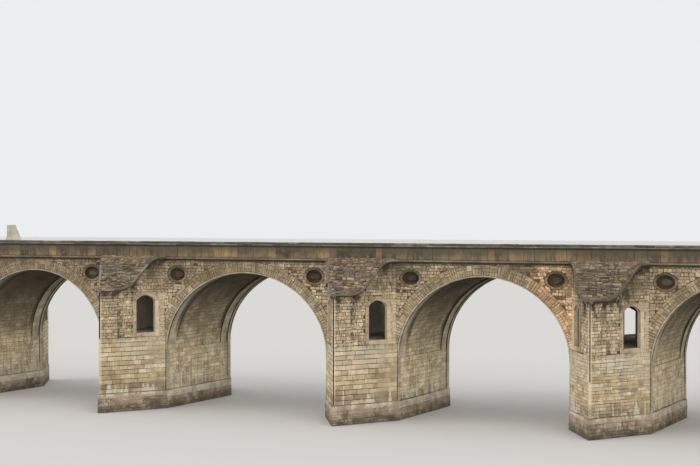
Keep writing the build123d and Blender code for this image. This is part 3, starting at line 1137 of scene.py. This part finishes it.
def arch_angles(bay, lift):
    """A function from the length along an arch to its angle, and the whole length."""
    half, rise = half_span[bay] + lift, RISE + lift
    marks = lengths_along(arc((0, 0), (-half, rise), math.pi, ARCH_STEPS))

    def angle_at(length):
        index, share = find_mark(marks, length)
        return math.pi * (index + share) / ARCH_STEPS

    return angle_at, marks[-1]


def soffit(bay, lift):
    """The underside of an arch: u across the bridge, v along the arch from its left foot."""
    angle_at, whole = arch_angles(bay, lift)
    half, rise = half_span[bay] + lift, RISE + lift

    def place(u, v, h):
        angle = angle_at(v)
        inward = Vector((math.cos(angle) / half, 0, -math.sin(angle) / rise)).normalized()
        at = Vector((bay_x[bay] - half * math.cos(angle), u, SPRING + rise * math.sin(angle)))
        return at + inward * h

    return place, whole


def ring_face(bay, side):
    """The face of an arch ring: u along the arch, v out from its inner edge."""
    angle_at, whole = arch_angles(bay, 0.0)

    def place(u, v, h):
        angle = angle_at(u)
        x = bay_x[bay] - (half_span[bay] + v) * math.cos(angle)
        return Vector((x, side * (HALF_WIDTH + h), SPRING + (RISE + v) * math.sin(angle)))

    return place, whole


print("arch 1 is", round(arch_angles(1, 0.0)[1], 2), "long along its curve")

# %% Ring stones
ARRIS = 0.045  # the strip of the face that belongs to the lip
OUTER = HALF_WIDTH + 0.003
THICK_ROW = 0.20  # an outer part that starts below this is split in two rows


def lay_ring(book, bay, side, chance):
    """Wedge stones on the face of an arch, thin ones inside and larger ones beyond some of them."""
    place, whole = ring_face(bay, side)
    marks = fitted(chance, 0.0, whole, 0.065, 0.105)
    first = 0
    while first < len(marks) - 1:
        last = min(first + chance.choice((1, 1, 2, 2, 3)), len(marks) - 1)
        far = RING + 0.004 - chance.uniform(0.0, 0.012)
        cut = chance.uniform(0.15, 0.28) if chance.random() < 0.85 else far
        parts = [(marks[index], marks[index + 1], ARRIS, cut) for index in range(first, last)]
        if cut < THICK_ROW:
            parts.append((marks[first], marks[last], cut, (cut + far) / 2))
            parts.append((marks[first], marks[last], (cut + far) / 2, far))
        elif cut < far:
            parts.append((marks[first], marks[last], cut, far))
        for left, right, low, high in parts:
            a, b, c, d = (chance.uniform(-0.006, 0.006) for _ in range(4))
            outline = [(left + a, low), (right + b, low), (right + c, high), (left + d, high)]
            lay_stone(book, place, outline, chance.uniform(0.002, 0.012), 0.014, chance.random())
        first = last


def lay_lip(book, bay, side, chance):
    """The longer stones of the lip: a narrow strip of the face, and the underside."""
    place, whole = ring_face(bay, side)
    under = soffit(bay, 0.0)[0]
    inner, outer = sorted((side * (HALF_WIDTH - RING_DEPTH), side * OUTER))
    marks = fitted(chance, 0.0, whole, 0.20, 0.34)
    for start, end in zip(marks, marks[1:]):
        tint = chance.random()
        outline = [(start, -0.002), (end, -0.002), (end, ARRIS), (start, ARRIS)]
        lay_stone(book, place, outline, 0.009, 0.005, tint, bevel=0.006)
        outline = [(inner, start), (outer, start), (outer, end), (inner, end)]
        lay_stone(book, under, outline, chance.uniform(0.003, 0.006), 0.005, tint)


# %% Lay the rings
LIP_STONE = [(0.0, (0.42, 0.36, 0.26)), (1.0, (0.56, 0.49, 0.37))]


def ring_weather(paint):
    """Face rings: browner towards the crown."""
    high = paint.at("Z").spread(3.0, 4.8, 0.16, 0.66)
    cloud = paint.noise(1.1, 4.0).spread(0.3, 0.7, 0.75, 1.2)
    paint.coat((high * cloud).capped(), UMBER)
    lost_faces(paint)


def lip_weather(paint):
    """The underside of the rings: a dark line near the edge, and darker at the crown."""
    height = paint.at("Z")
    out = abs(paint.at("Y"))
    line = out.spread(2.24, 2.31) * out.spread(2.390, 2.360)
    paint.coat(line * height.spread(1.95, 2.7, 0.0, 0.82), SOOT_AND_SHADE_BLACK)
    paint.coat(height.spread(3.0, 4.9, 0.0, 0.42), LICHEN)


def lay_rings(side, book, lip_book):
    """The rings of one side of the bridge."""
    for bay in BAYS:
        chance = random.Random(bay * 13 + side)
        lay_ring(book, bay, side, chance)
        lay_lip(lip_book, bay, side, chance)


ring_stone = weathered("ring stone", SMALL, ring_weather, holes=0.6)
lip_stone = weathered("ring lip", LIP_STONE, lip_weather, blotch=0.15)
dress(
    lay_rings,
    ("ring_stones", "ring_stone", ring_stone),
    ("ring_lips", "ring_stone", lip_stone),
)

# %% [markdown]
# ## Barrels and pier flanks
# Under the arch the barrel is laid in long courses from end to end. It is light near the springing and
# blackened at the crown, with a dark band along each side by the step to the smooth bands beyond, which is
# painted shade of that step with damp. The stones could be laid flat and bent by a modifier. Here the same
# wall is laid on a surface that follows the arch, so its courses meet those of the flanks, and paint that
# goes by height has no seam at the springing.

# %% Weather under the arches
def barrel_weather_and_shade(paint):
    """Flanks and barrels: lime and damp at the foot, smoke from the springing up, and two dark bands by the
    steps to the smooth bands, painted shade of the steps with damp.
    """
    height = paint.at("Z")
    damp = height.spread(1.0, 0.65) * paint.noise(1.3, 23.0).spread(0.42, 0.6)
    paint.coat(damp * 0.55, LICHEN)
    lime_cones(paint, 8.0)
    runs = paint.streaks(0.53, 0.62, 36.0) * height.spread(1.9, 0.9, 0.0, 0.66)
    paint.coat(runs, LIME)
    paint.coat(paint.streaks(0.5, 0.70, 26.0) * 0.36, SMOKE)
    cloud = paint.noise(0.8, 14.0).spread(0.3, 0.7, 0.75, 1.15)
    smoke = height.spread(1.7, 3.2, 0.0, 0.50) + height.spread(2.9, 4.7, 0.0, 0.38)
    paint.coat((smoke * cloud).capped(), SMOKE)
    paint.coat(height.spread(2.9, 4.9, 0.0, 0.85), colour(0.044, 0.034, 0.022))
    # A dark band along each side by the step to the smooth band: painted shade of the step, with damp.
    off = abs(abs(paint.at("Y")) + paint.noise(1.6, 2.0) * 0.3 - 1.76)
    band = off.spread(0.22, 0.03) * height.spread(2.2, 2.9)
    paint.coat(band * 0.75, SOOT_AND_SHADE_BLACK)
    blackest = paint.at("X").spread(-8.6, -10.4) * height.spread(1.9, 3.1)
    paint.coat(blackest * 0.42, SMOKE)
    # More painted shade by the step on the front side.
    front = paint.at("Y").spread(-1.25, -1.68) * height.spread(2.0, 3.0)
    paint.coat(front * 0.45, SOOT_AND_SHADE_BLACK)


def band_weather_and_shade(paint):
    """The smooth bands: streaked, darker towards the crown, and painted shade in the corners of the rings
    and by the step down to the barrel.
    """
    height = paint.at("Z")
    across = paint.at("Y")
    paint.coat(height.spread(2.8, 4.6, 0.0, 0.60), LICHEN)
    paint.coat(height.spread(3.9, 4.9, 0.0, 0.75), SOOT_AND_SHADE_BLACK)
    paint.coat(paint.streaks(0.5, 0.7, 3.0) * 0.30, LICHEN)
    above = height.spread(2.35, 3.15)
    # Painted shade in the corner of the front ring, and by the step down to the barrel.
    paint.coat(across.spread(-2.04, -2.14, 0.0, 0.45) * above, SOOT_AND_SHADE_BLACK)
    step_shade = across.spread(-1.99, -1.84, 0.0, 0.72) * across.below(0.0)
    paint.coat(step_shade * above, SOOT_AND_SHADE_BLACK)
    # Painted shade in the corner of the back ring.
    paint.coat(across.spread(2.09, 2.15, 0.0, 0.80), SOOT_AND_SHADE_BLACK)


BARREL = [
    (0.0, (0.55, 0.440, 0.270)),
    (0.5, (0.66, 0.552, 0.362)),
    (1.0, (0.76, 0.664, 0.474)),
]
BAND = [
    (0.0, (0.44, 0.385, 0.280)),
    (0.5, (0.50, 0.440, 0.325)),
    (1.0, (0.55, 0.490, 0.375)),
]
barrel_stone = weathered("barrel stone", BARREL, barrel_weather_and_shade, holes=0.55)
band_stone = weathered("smooth band", BAND, band_weather_and_shade, holes=0.15)

# %% Lay the barrels
BAND_WIDTH = 0.475
INNER = HALF_WIDTH - RING_DEPTH  # the smooth bands lie between here
MIDDLE = INNER - BAND_WIDTH  # and here
BARREL_BACK = 0.04  # the barrel's stones lie this much deeper than the bands and the flanks

for bay in BAYS:
    book = StoneBook()
    place, whole = soffit(bay, LIP + BARREL_BACK)
    levels = fitted(random.Random(bay), 0.0, whole, 0.120, 0.160)
    lay_wall(book, place, -MIDDLE, MIDDLE, levels, (0.22, 0.50), bay * 77, split=0.06, joint=0.013)
    build(book, f"arch_{bay}_barrel_stones", "barrel_stone", barrel_stone)
    book = StoneBook()
    place, whole = soffit(bay, LIP)
    for hand in HANDS:
        ends = sorted((hand * MIDDLE, hand * INNER))
        levels = fitted(random.Random(bay * 2 + hand), 0.0, whole, 0.16, 0.22)
        lengths = (BAND_WIDTH, BAND_WIDTH)
        lay_wall(book, place, *ends, levels, lengths, bay * 79, joint=0.004, proud=(0.002, 0.005))
    build(book, f"arch_{bay}_smooth_bands", "barrel_stone", band_stone)

# %% Lay the pier flanks
flanks = StoneBook()
quoins = StoneBook()
for pier in PIERS:
    fine = fitted(random.Random(pier * 15), FOOTING_TOP, SPRING, 0.125, 0.175)
    levels = fitted(random.Random(pier * 5), FOOTING_TOP, SPRING, 0.145, 0.180)
    for hand in HANDS:
        x = pier_x[pier] + hand * (HALF_PIER - LIP)
        place = cross_plane(x, hand)
        seed = pier * 23 + hand
        lay_wall(flanks, place, -INNER, INNER, fine, (0.22, 0.60), seed, joint=0.010, split=0.15)
        place = flat((x - hand * BARREL_BACK, 0, SPRING), (0, 1, 0), (hand, 0, 0), (0, 0, 1))
        step = [0.0, BARREL_BACK]
        seed = pier * 24 + hand
        lay_wall(flanks, place, -MIDDLE, MIDDLE, step, (0.20, 0.45), seed, proud=(0.002, 0.005))
        place = cross_plane(pier_x[pier] + hand * HALF_PIER, hand)
        for side in SIDES.values():
            ends = sorted((side * INNER, side * OUTER))
            lay_wall(quoins, place, *ends, levels, WHOLE, pier * 29 + hand + side, joint=0.008)
build(flanks, "pier_flank_stones", "pier_ashlar", barrel_stone)
build(quoins, "pier_corner_stones", "pier_ashlar", lip_stone)

# %% [markdown]
# ## Spandrels and end walls
# Between the rings and the string course the wall is of small stones, each cut to the ring. Round every
# oval recess stands a ring of narrow wedges, and inside it a boss, too worn to tell what it was. At the
# two ends the bridge is cut square. The boss could be sculpted, but a dome of rings with a few random
# waves is as shapeless as the real one, and each comes out different.

# %% Spandrel stones
OVAL_U, OVAL_V, OVAL_FROM_PIER = 0.30, 0.22, 1.762
OVAL_STEPS = 28
boss_low, boss_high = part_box("front_medallions")
OVAL_LEVEL = (boss_low.z + boss_high.z) / 2
SPANDREL_FOOT = 3.5
SPANDREL_WAYS = {"rough": 0.008, "split": 0.08, "proud": (0.003, 0.012), "joint": 0.016}
SPANDREL_WAYS.update(worn=0.022, wave=0.006)


def ovals_of(bay):
    """The middles of the two ovals over an arch, along the bridge."""
    return [pier_x[bay] + OVAL_FROM_PIER, pier_x[bay + 1] - OVAL_FROM_PIER]


def oval(middle_x, grow):
    """The outline of an oval recess, widened all round."""
    reach = (OVAL_U + grow, OVAL_V + grow)
    return arc((middle_x, OVAL_LEVEL), reach, 2 * math.pi, OVAL_STEPS)[:-1]


def rot_and_shade(bay, side):
    """A function that gives how dark a stone is painted: some near the ring have rotted, and are painted
    dark as the shade and soot in their holes, and those just under the string course get a little painted
    shadow.
    """
    chance = random.Random(bay * 19 + side)

    def share(u, v):
        across, up = (u - bay_x[bay]) / (half_span[bay] + RING), (v - SPRING) / (RISE + RING)
        from_ring = math.hypot(across, up) - 1.0
        rotten = 0.25 if from_ring < 0.16 and 0.35 < across < 0.85 else 0.03
        # A rotten stone is painted dark as the shade and soot in its hole; just under the string course, a
        # little painted shadow.
        return chance.uniform(0.35, 0.85) if chance.random() < rotten else max(0.0, 0.12 - (STRING - v))

    return share


def lay_spandrels(side, book):
    """The wall over the arches of one side, cut to the rings and the ovals."""
    for bay in BAYS:
        middle, half = bay_x[bay], half_span[bay] + RING
        ellipse = arc((middle, SPRING), (half, RISE + RING), math.pi, 64)
        feet = [(middle - half, SPRING - 1), (middle + half, SPRING - 1)]
        cutters = [outside(ellipse + feet)] + [outside(oval(x, 0.085)) for x in ovals_of(bay)]
        levels = fitted(random.Random(bay * 3 + side), SPANDREL_FOOT, STRING, 0.085, 0.13)
        ways = {"cutters": cutters, "stain": rot_and_shade(bay, side), **SPANDREL_WAYS}
        reach = half_span[bay] + 0.062
        ends = (middle - reach, middle + reach)
        place = long_plane(side * HALF_WIDTH, side)
        lay_wall(book, place, *ends, levels, (0.09, 0.22), bay * 41 + side, **ways)


dress(lay_spandrels, ("spandrel_stones", "spandrel_stone", small_stone))

# %% End wall stones
book = StoneBook()
for hand in HANDS:
    place = cross_plane(hand * END, hand)
    levels = fitted(random.Random(hand), SPRING, DECK, 0.105, 0.15)
    ways = {"split": 0.08, "rough": 0.006, "joint": 0.017}
    lay_wall(book, place, -HALF_WIDTH, HALF_WIDTH, levels, (0.16, 0.36), 300 + hand, **ways)
build(book, "end_wall_stones", "spandrel_stone", small_stone)


# %% Oval wedges and worn bosses
BOSS_RINGS = 6
BOSS_BACK = HALF_WIDTH - 0.15  # the bottom of a recess
BOSS_EDGE = 0.085  # the gap between a boss and the edge of its recess
BOSS_HEIGHT, BOSS_MIDDLE = 0.078, 0.070


def lay_oval(book, x, side):
    """A ring of narrow wedges round one oval recess."""
    chance = random.Random(round(x * 90) + side)
    place = long_plane(side * HALF_WIDTH, side)
    inner, outer = oval(x, 0.002), oval(x, 0.083)
    for index in range(0, OVAL_STEPS, 2):
        last = (index + 2) % OVAL_STEPS
        outline = [outer[index], outer[last], inner[last], inner[index]]
        lower_left = 13 < index < 21
        rusty = lower_left and chance.random() < 0.5
        tint = chance.uniform(0.25, 0.35) if rusty else chance.uniform(0.4, 0.9)
        lay_stone(book, place, outline, chance.uniform(0.003, 0.009), 0.009, tint)


def lay_boss(book, x, side):
    """A shapeless worn boss at the bottom of an oval recess, painted near-black as the shade in it."""
    chance = random.Random(round(x * 100) + side)
    dents = []
    for _ in range(5):
        dents.append((chance.uniform(0, 6.3), chance.uniform(1.5, 3.5), chance.uniform(0.005, 0.014)))
    points = []
    for ring in range(BOSS_RINGS):
        out = 1 - ring / BOSS_RINGS
        lift = BOSS_HEIGHT * (1 - out ** 3.0) ** 0.6 if ring else SUNK
        for step in range(OVAL_STEPS):
            angle = 2 * math.pi * step / OVAL_STEPS
            worn = 0
            for phase, turns, depth in dents:
                worn += depth * math.sin(angle * round(turns) + phase + out * 4)
            height = lift + (worn * out if ring else 0.0)
            u = (OVAL_U - BOSS_EDGE) * out * math.cos(angle)
            v = (OVAL_V - BOSS_EDGE) * out * math.sin(angle)
            points.append(Vector((x + u, side * (BOSS_BACK + height), OVAL_LEVEL + v)))
    points.append(Vector((x, side * (BOSS_BACK + BOSS_MIDDLE), OVAL_LEVEL)))
    last = (BOSS_RINGS - 1) * OVAL_STEPS
    faces = []
    for start in range(0, last, OVAL_STEPS):
        faces += ribbon(start, OVAL_STEPS)
    faces += cap(last, OVAL_STEPS)
    if side > 0:
        faces = [face[::-1] for face in faces]
    # A low tint, painted near-black as the shade in the recess.
    book.add(points, faces, chance.uniform(0.0, 0.2))


# %% Lay the ovals
# The darkest stops paint the bosses near-black, as the shade deep in their recesses; the others are rust
# and stone.
OVAL_STONE_AND_SHADE = [
    (0.0, (0.030, 0.024, 0.018)),
    (0.20, (0.150, 0.122, 0.100)),
    (0.25, (0.19, 0.118, 0.068)),
    (0.35, (0.23, 0.150, 0.090)),
    (0.40, (0.22, 0.175, 0.115)),
    (1.0, (0.31, 0.255, 0.175)),
]


def oval_weather_and_shade(paint):
    """Ovals: rusty earth along some lower edges, and painted shade of the recess that deepens upwards."""
    height = paint.at("Z")
    rust = paint.noise(2.6, 61.0).spread(0.46, 0.60, 0.0, 0.8)
    low = height.spread(OVAL_LEVEL + 0.02, OVAL_LEVEL - 0.16)
    paint.coat(rust * low, colour(0.20, 0.108, 0.052))
    # Painted shade of the recess, deeper towards its top.
    paint.coat(height.spread(OVAL_LEVEL - 0.10, OVAL_LEVEL + 0.25, 0.10, 0.75), SOOT_AND_SHADE_BLACK)


def lay_ovals(side, book):
    """The ovals and bosses of one side of the bridge."""
    for bay in BAYS:
        for x in ovals_of(bay):
            lay_oval(book, x, side)
            lay_boss(book, x, side)


oval_stone = weathered("oval stone", OVAL_STONE_AND_SHADE, oval_weather_and_shade, holes=0.5)
dress(lay_ovals, ("ovals_and_bosses", "dressed_stone", oval_stone, "medallions"))

# %% [markdown]
# ## String course, parapet and coping
# The string course is a small moulding that keeps rain off the wall. Over it stands the parapet, a single
# course of upright slabs, brown and orange, and on that a thin worn coping. A bevelled curve would draw
# each moulding in one length. Here they are bars with a real section, in lengths a mason could lift, so
# that every stone can be a little worn and out of line.

# %% Long bars in stone lengths
STRING_SECTION = [
    (-0.02, 0.000), (0.004, 0.000), (0.008, 0.010), (0.020, 0.020), (0.040, 0.028),
    (0.049, 0.032), (0.050, 0.038), (0.050, 0.084), (0.042, 0.090), (-0.02, 0.090),
]
COPING_SECTION = [
    (-0.260, 0.000), (0.028, 0.000), (0.036, 0.010), (0.036, 0.050), (0.030, 0.064),
    (0.014, 0.075), (-0.240, 0.075), (-0.255, 0.064), (-0.260, 0.050),
]
BAR_STEPS = 4
TOP_PART = 0.045  # only what is above this wears down


def lay_long(book, side, section, base, lengths, seed, worn, light=1.0):
    """A long bar, in stones of random length, each a little out of line."""
    chance = random.Random(seed)
    marks = fitted(chance, -END, END, *lengths)
    for start, end in zip(marks, marks[1:]):
        sections = []
        out, lift = chance.uniform(-worn, 0), chance.uniform(-worn, 0)
        for step in range(BAR_STEPS + 1):
            x = start + BAR_JOINT + (end - start - 2 * BAR_JOINT) * step / BAR_STEPS
            dip = lift + chance.uniform(-worn, 0) * 0.6
            corners = []
            for a, b in section:
                across = HALF_WIDTH + a + (out if a > 0 else 0)
                corners.append((x, side * across, base + b + (dip if b > TOP_PART else 0)))
            sections.append(corners)
        lay_bar(book, sections, light * chance.random())


# %% Finishes of the parapet and coping
PARAPET = [
    (0.0, (0.058, 0.044, 0.033)),
    (0.25, (0.098, 0.077, 0.062)),
    (0.5, (0.128, 0.101, 0.075)),
    (0.7, (0.166, 0.126, 0.078)),
    (0.85, (0.205, 0.147, 0.082)),
    (1.0, (0.275, 0.180, 0.088)),
]
COPING = [
    (0.0, (0.080, 0.080, 0.062)),
    (0.6, (0.130, 0.126, 0.100)),
    (1.0, (0.200, 0.190, 0.155)),
]


def parapet_weather_and_shade(paint):
    """Golden patches, soot that deepens upwards and lies at the foot, a painted shadow just under the
    coping, and dark water marks down from the coping.
    """
    height = paint.at("Z")
    gold = paint.noise(5.5, 81.0).spread(0.54, 0.66, 0.0, 0.45)
    paint.coat(gold, colour(0.215, 0.162, 0.090))
    paint.coat(height.spread(DECK + 0.06, PARAPET_TOP, 0.0, 0.76), SMOKE)
    # A painted shadow just under the coping.
    paint.coat(height.spread(PARAPET_TOP - 0.06, PARAPET_TOP - 0.02, 0.0, 0.6), SOOT_AND_SHADE_BLACK)
    paint.coat(height.spread(DECK + 0.05, DECK, 0.0, 0.6), SOOT_AND_SHADE_BLACK)
    run = paint.streaks(0.42, 0.68, 6.0) * height.spread(DECK, PARAPET_TOP, 0.2, 0.65)
    paint.coat(run, LICHEN)
    warm = height.spread(DECK + 0.22, DECK + 0.02) * paint.streaks(0.40, 0.60, 16.0)
    paint.coat(warm * 0.5, colour(0.28, 0.185, 0.095))


def coping_weather_and_shade(paint):
    """Coping: lichen grey on the washed top, and the lower half of its outer edge painted black as shade.
    """
    edge_weather_and_shade(paint)
    # Painted shade on the lower half of the outer edge.
    low = paint.at("Z").spread(PARAPET_TOP + 0.048, PARAPET_TOP + 0.034, 0.0, 0.9)
    paint.coat(low * abs(paint.at("Y")).above(HALF_WIDTH), SOOT_AND_SHADE_BLACK)


parapet_stone = weathered("parapet slabs", PARAPET, parapet_weather_and_shade, blotch=0.3)
coping_stone = weathered("worn coping", COPING, coping_weather_and_shade, blotch=0.3)

# %% Lay the string course, parapet and coping
PARAPET_BACK = HALF_WIDTH - 0.225
SLAB_WAYS = {"joint": 0.015, "proud": (0.001, 0.011), "rough": 0.004}
SLAB_LENGTHS = (0.24, 0.58)


def lay_parapet(side, string_book, coping_book, slab_book):
    """The string course, the coping, and the slabs on both faces of one parapet."""
    lay_long(string_book, side, STRING_SECTION, STRING, (0.4, 0.62), 60 + side, 0.004, 0.6)
    lay_long(coping_book, side, COPING_SECTION, PARAPET_TOP, (0.5, 0.9), 70 + side, 0.008)
    for y, facing, bottom, seed in ((HALF_WIDTH, side, DECK, 80), (PARAPET_BACK, -side, DECK + 0.03, 90)):
        place = long_plane(side * y, facing)
        levels = [bottom, PARAPET_TOP]
        lay_wall(slab_book, place, -END, END, levels, SLAB_LENGTHS, seed + side, **SLAB_WAYS)


dress(
    lay_parapet,
    ("string_stones", "dressed_stone", moulding_stone, "string_course"),
    ("coping_stones", "coping_stone", coping_stone, "coping"),
    ("parapet_slabs", "parapet_stone", parapet_stone),
)

# %% [markdown]
# ## Footings
# The lowest courses are rough, dark and damp, and a smooth collar of lime render runs round their top.
# Both could be modelled apart, but their outline is the pier's own, a little larger. So the cutwater faces
# and the flanks are used again, set out by that much, with rough blocks below and long smooth ones above.

# %% Finishes of the footings
ROUGH = [
    (0.0, (0.255, 0.188, 0.132)),
    (0.5, (0.385, 0.295, 0.210)),
    (1.0, (0.530, 0.435, 0.320)),
]
RENDER = [
    (0.0, (0.40, 0.315, 0.225)),
    (0.4, (0.46, 0.375, 0.270)),
    (0.6, (0.46, 0.410, 0.320)),
    (1.0, (0.54, 0.485, 0.385)),
]


def damp_foot(paint):
    """The lowest blocks: pale patches, and dark and greenish towards the bottom."""
    height = paint.at("Z")
    washed = height.spread(0.12, 0.36) * paint.noise(1.1, 91.0).spread(0.42, 0.56)
    paint.coat(washed * 0.65, colour(0.50, 0.405, 0.300))
    wet = height.spread(0.45, 0.02, 0.16, 0.82)
    cloud = paint.noise(1.7, 31.0).spread(0.3, 0.7, 0.6, 1.2)
    paint.coat((wet * cloud).capped(), LICHEN)


def collar_weather(paint):
    """Lime render: streaked, with the same lime cones as the ashlar above it."""
    paint.coat(paint.streaks(0.5, 0.75, 12.0) * 0.4, LICHEN)
    lime_cones(paint, 5.0)


footing_stone = weathered("footing stone", ROUGH, damp_foot, blotch=0.35, holes=0.7)
collar_render = weathered("lime render", RENDER, collar_weather, holes=0.15)

# %% Lay the footings
FOOT = 0.03  # how far the footing stands out from the pier
COLLAR_TOP = 0.628
CUTWATER_COLLAR, FLANK_COLLAR = 0.47, 0.40  # where the collar starts
BLOCK_WAYS = {"joint": 0.018, "proud": (0.001, 0.020), "rough": 0.016, "bevel": 0.016}
BLOCK_WAYS.update(worn=0.03, wave=0.008, split=0.1)


def above_floor(outline):
    """A cutter that keeps the lowest stones above the floor."""
    return clip(outline, (0, 0.004), (0, 1))


blocks = StoneBook()
collar = StoneBook()
for pier in PIERS:
    surfaces = []
    for side in SIDES.values():
        for hand in HANDS:
            face = cutwater_face(pier, side, hand, FOOT)
            surfaces.append((face, -0.05, FACE_LENGTH + 0.008, CUTWATER_COLLAR, (0.0, 0.4)))
    for hand in HANDS:
        face = cross_plane(pier_x[pier] + hand * (HALF_PIER + FOOT), hand)
        surfaces.append((face, -HALF_WIDTH - 0.01, HALF_WIDTH + 0.01, FLANK_COLLAR, (0.7, 1.0)))
    for index, (place, left, right, height, tints) in enumerate(surfaces):
        seed = pier * 61 + index
        levels = fitted(random.Random(seed), 0.0, height - 0.01, 0.09, 0.19)
        ways = {"cutters": [above_floor], **BLOCK_WAYS}
        lay_wall(blocks, place, left, right, levels, (0.14, 0.46), seed, **ways)
        ways = {"joint": 0.002, "proud": (0.004, 0.008), "tints": tints}
        lay_wall(collar, place, left, right, [height, COLLAR_TOP], (0.9, 1.8), seed, **ways)
build(blocks, "footing_blocks", "footing_stone", footing_stone)
build(collar, "footing_collars", "footing_stone", collar_render)

# %% [markdown]
# ## Finishes of the solids
# The solids stay in view between the stones, inside the windows and on the road. A plain colour would give
# them away, so each one gets its own mortar, dust or worn surface, made of the same noises as the stones.

# %% Mortar and plaster
DEEP_MORTAR = (0.072, 0.053, 0.032)
CHAMBER_LOW, CHAMBER_HIGH, CHAMBER_HALF = 2.6, 4.06, 0.83  # the hollow in a pier


def pier_mortar(pier):
    """Dark open joints outside, and pale dusty plaster on the walls of the hollow chamber."""

    def weather(paint):
        wall_weather_and_shade(paint)
        off = paint.at("X") - pier_x[pier]
        height = paint.at("Z")
        within = height.above(CHAMBER_LOW) * height.below(CHAMBER_HIGH)
        turned = (off * paint.facing("X")).below(-0.02) * within
        level = abs(paint.facing("Z")).above(0.3)
        near = abs(off).below(CHAMBER_HALF)
        inside = turned.maths("MAXIMUM", level * (within * near))
        cloud = paint.noise(2.5, 3.0).spread(0.3, 0.7)
        dust = paint.mixed(cloud, colour(0.62, 0.56, 0.48), colour(0.80, 0.74, 0.66))
        trodden = paint.facing("Z").above(0.3)
        paint.coat(inside, paint.shaded(dust, 1.0 - trodden * 0.55))

    return one_tone(f"deep mortar of pier {pier}", DEEP_MORTAR, weather)


def road_weather(paint):
    """A road worn pale along two wheel tracks, with grit along its edges."""
    across = abs(paint.at("Y"))
    track = abs(across - 0.85).spread(0.40, 0.10)
    paint.coat(track * 0.30, colour(0.30, 0.285, 0.255))
    grit = across.spread(1.7, 2.15) * paint.noise(3.0).spread(0.35, 0.6)
    paint.coat(grit * 0.8, colour(0.28, 0.23, 0.16))


# %% Give each solid its finish
dark_mortar = one_tone("deep mortar of the barrel", (0.15, 0.12, 0.08), barrel_weather_and_shade)
finishes = {
    "footings": one_tone("foot mortar", (0.20, 0.16, 0.11), damp_foot),
    "shaft": dark_mortar,
    "vault": dark_mortar,
    "roadway": one_tone("worn road", (0.20, 0.190, 0.170), road_weather, pores=0.3),
    "marker_stone": one_tone("pale marker stone", (0.50, 0.46, 0.38), edge_weather_and_shade),
    "window_surrounds": one_tone("mortar of the window frames", (0.22, 0.17, 0.11), wall_weather_and_shade),
    "parapet": one_tone("parapet mortar", (0.075, 0.060, 0.042)),
}
for pier in PIERS:
    mortar = pier_mortar(pier)
    for part in ("head", "front_cutwater", "back_cutwater"):
        finishes[f"pier_{pier}_{part}"] = mortar
plain_mortar = one_tone("deep mortar", DEEP_MORTAR, wall_weather_and_shade)
for name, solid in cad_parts.items():
    chosen = [finish for part, finish in finishes.items() if part in name]
    solid.data.materials.clear()
    solid.data.materials.append(chosen[0] if chosen else plain_mortar)
print("solids with a finish:", len(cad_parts))

# %% [markdown]
# ## Floor, light and camera
# The bridge stands on a plain pale floor under a wide overcast sky. With one lamp, half of each cutwater
# would be black, so two large soft lights stand in front of it, one to the right and one to the left. The
# camera stands to the right, a little above the road, with a long lens.

# %% Floor
mesh = bpy.data.meshes.new("floor")
mesh.from_pydata([(-300, -300, 0), (300, -300, 0), (300, 400, 0), (-300, 400, 0)], [], [(0, 1, 2, 3)])
floor = bpy.data.objects.new("floor", mesh)
bpy.context.scene.collection.objects.link(floor)
floor.location.z = -0.002
paper = bpy.data.materials.new("pale floor")
paper.use_nodes = True
shader = paper.node_tree.nodes["Principled BSDF"]
shader.inputs["Base Color"].default_value = colour(0.62, 0.61, 0.59)
shader.inputs["Roughness"].default_value = 0.95
mesh.materials.append(paper)
floor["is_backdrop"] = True

# %% Light
world = bpy.data.worlds.new("overcast sky")
world.use_nodes = True
sky = world.node_tree.nodes["Background"]
sky.inputs["Color"].default_value = colour(0.88, 0.89, 0.905)
sky.inputs["Strength"].default_value = 0.95
bpy.context.scene.world = world
for label, energy, towards in (("right", 1.05, (0.58, -0.62, 0.36)), ("left", 1.0, (-0.60, -0.66, 0.42))):
    lamp = bpy.data.lights.new(f"soft light from the {label}", "SUN")
    lamp.energy = energy
    lamp.angle = math.radians(40)
    lamp.color = (1.0, 0.96, 0.90)
    lamp_object = bpy.data.objects.new(lamp.name, lamp)
    lamp_object.rotation_euler = Vector(towards).to_track_quat("Z", "Y").to_euler()
    bpy.context.scene.collection.objects.link(lamp_object)
bpy.context.scene.view_settings.view_transform = "Standard"

# %% Camera
CAMERA_PLACE = (23.1841, -55.1727, 6.7866)
TURNED, LOOKING_DOWN, ROLLED = 24.0173, 0.5775, 0.0577  # degrees
camera = bpy.data.cameras.new("camera")
camera.sensor_width = 36.0
camera.lens = 88.636
camera.clip_end = 1000.0
viewer = bpy.data.objects.new("camera", camera)
turn = Matrix.Rotation(math.radians(TURNED), 4, "Z")
turn @= Matrix.Rotation(math.radians(90 - LOOKING_DOWN), 4, "X")
turn @= Matrix.Rotation(math.radians(ROLLED), 4, "Z")
viewer.matrix_world = Matrix.Translation(CAMERA_PLACE) @ turn
bpy.context.scene.collection.objects.link(viewer)
bpy.context.scene.camera = viewer

# %% Sizes, and finish
bpy.context.view_layer.update()
low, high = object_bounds()
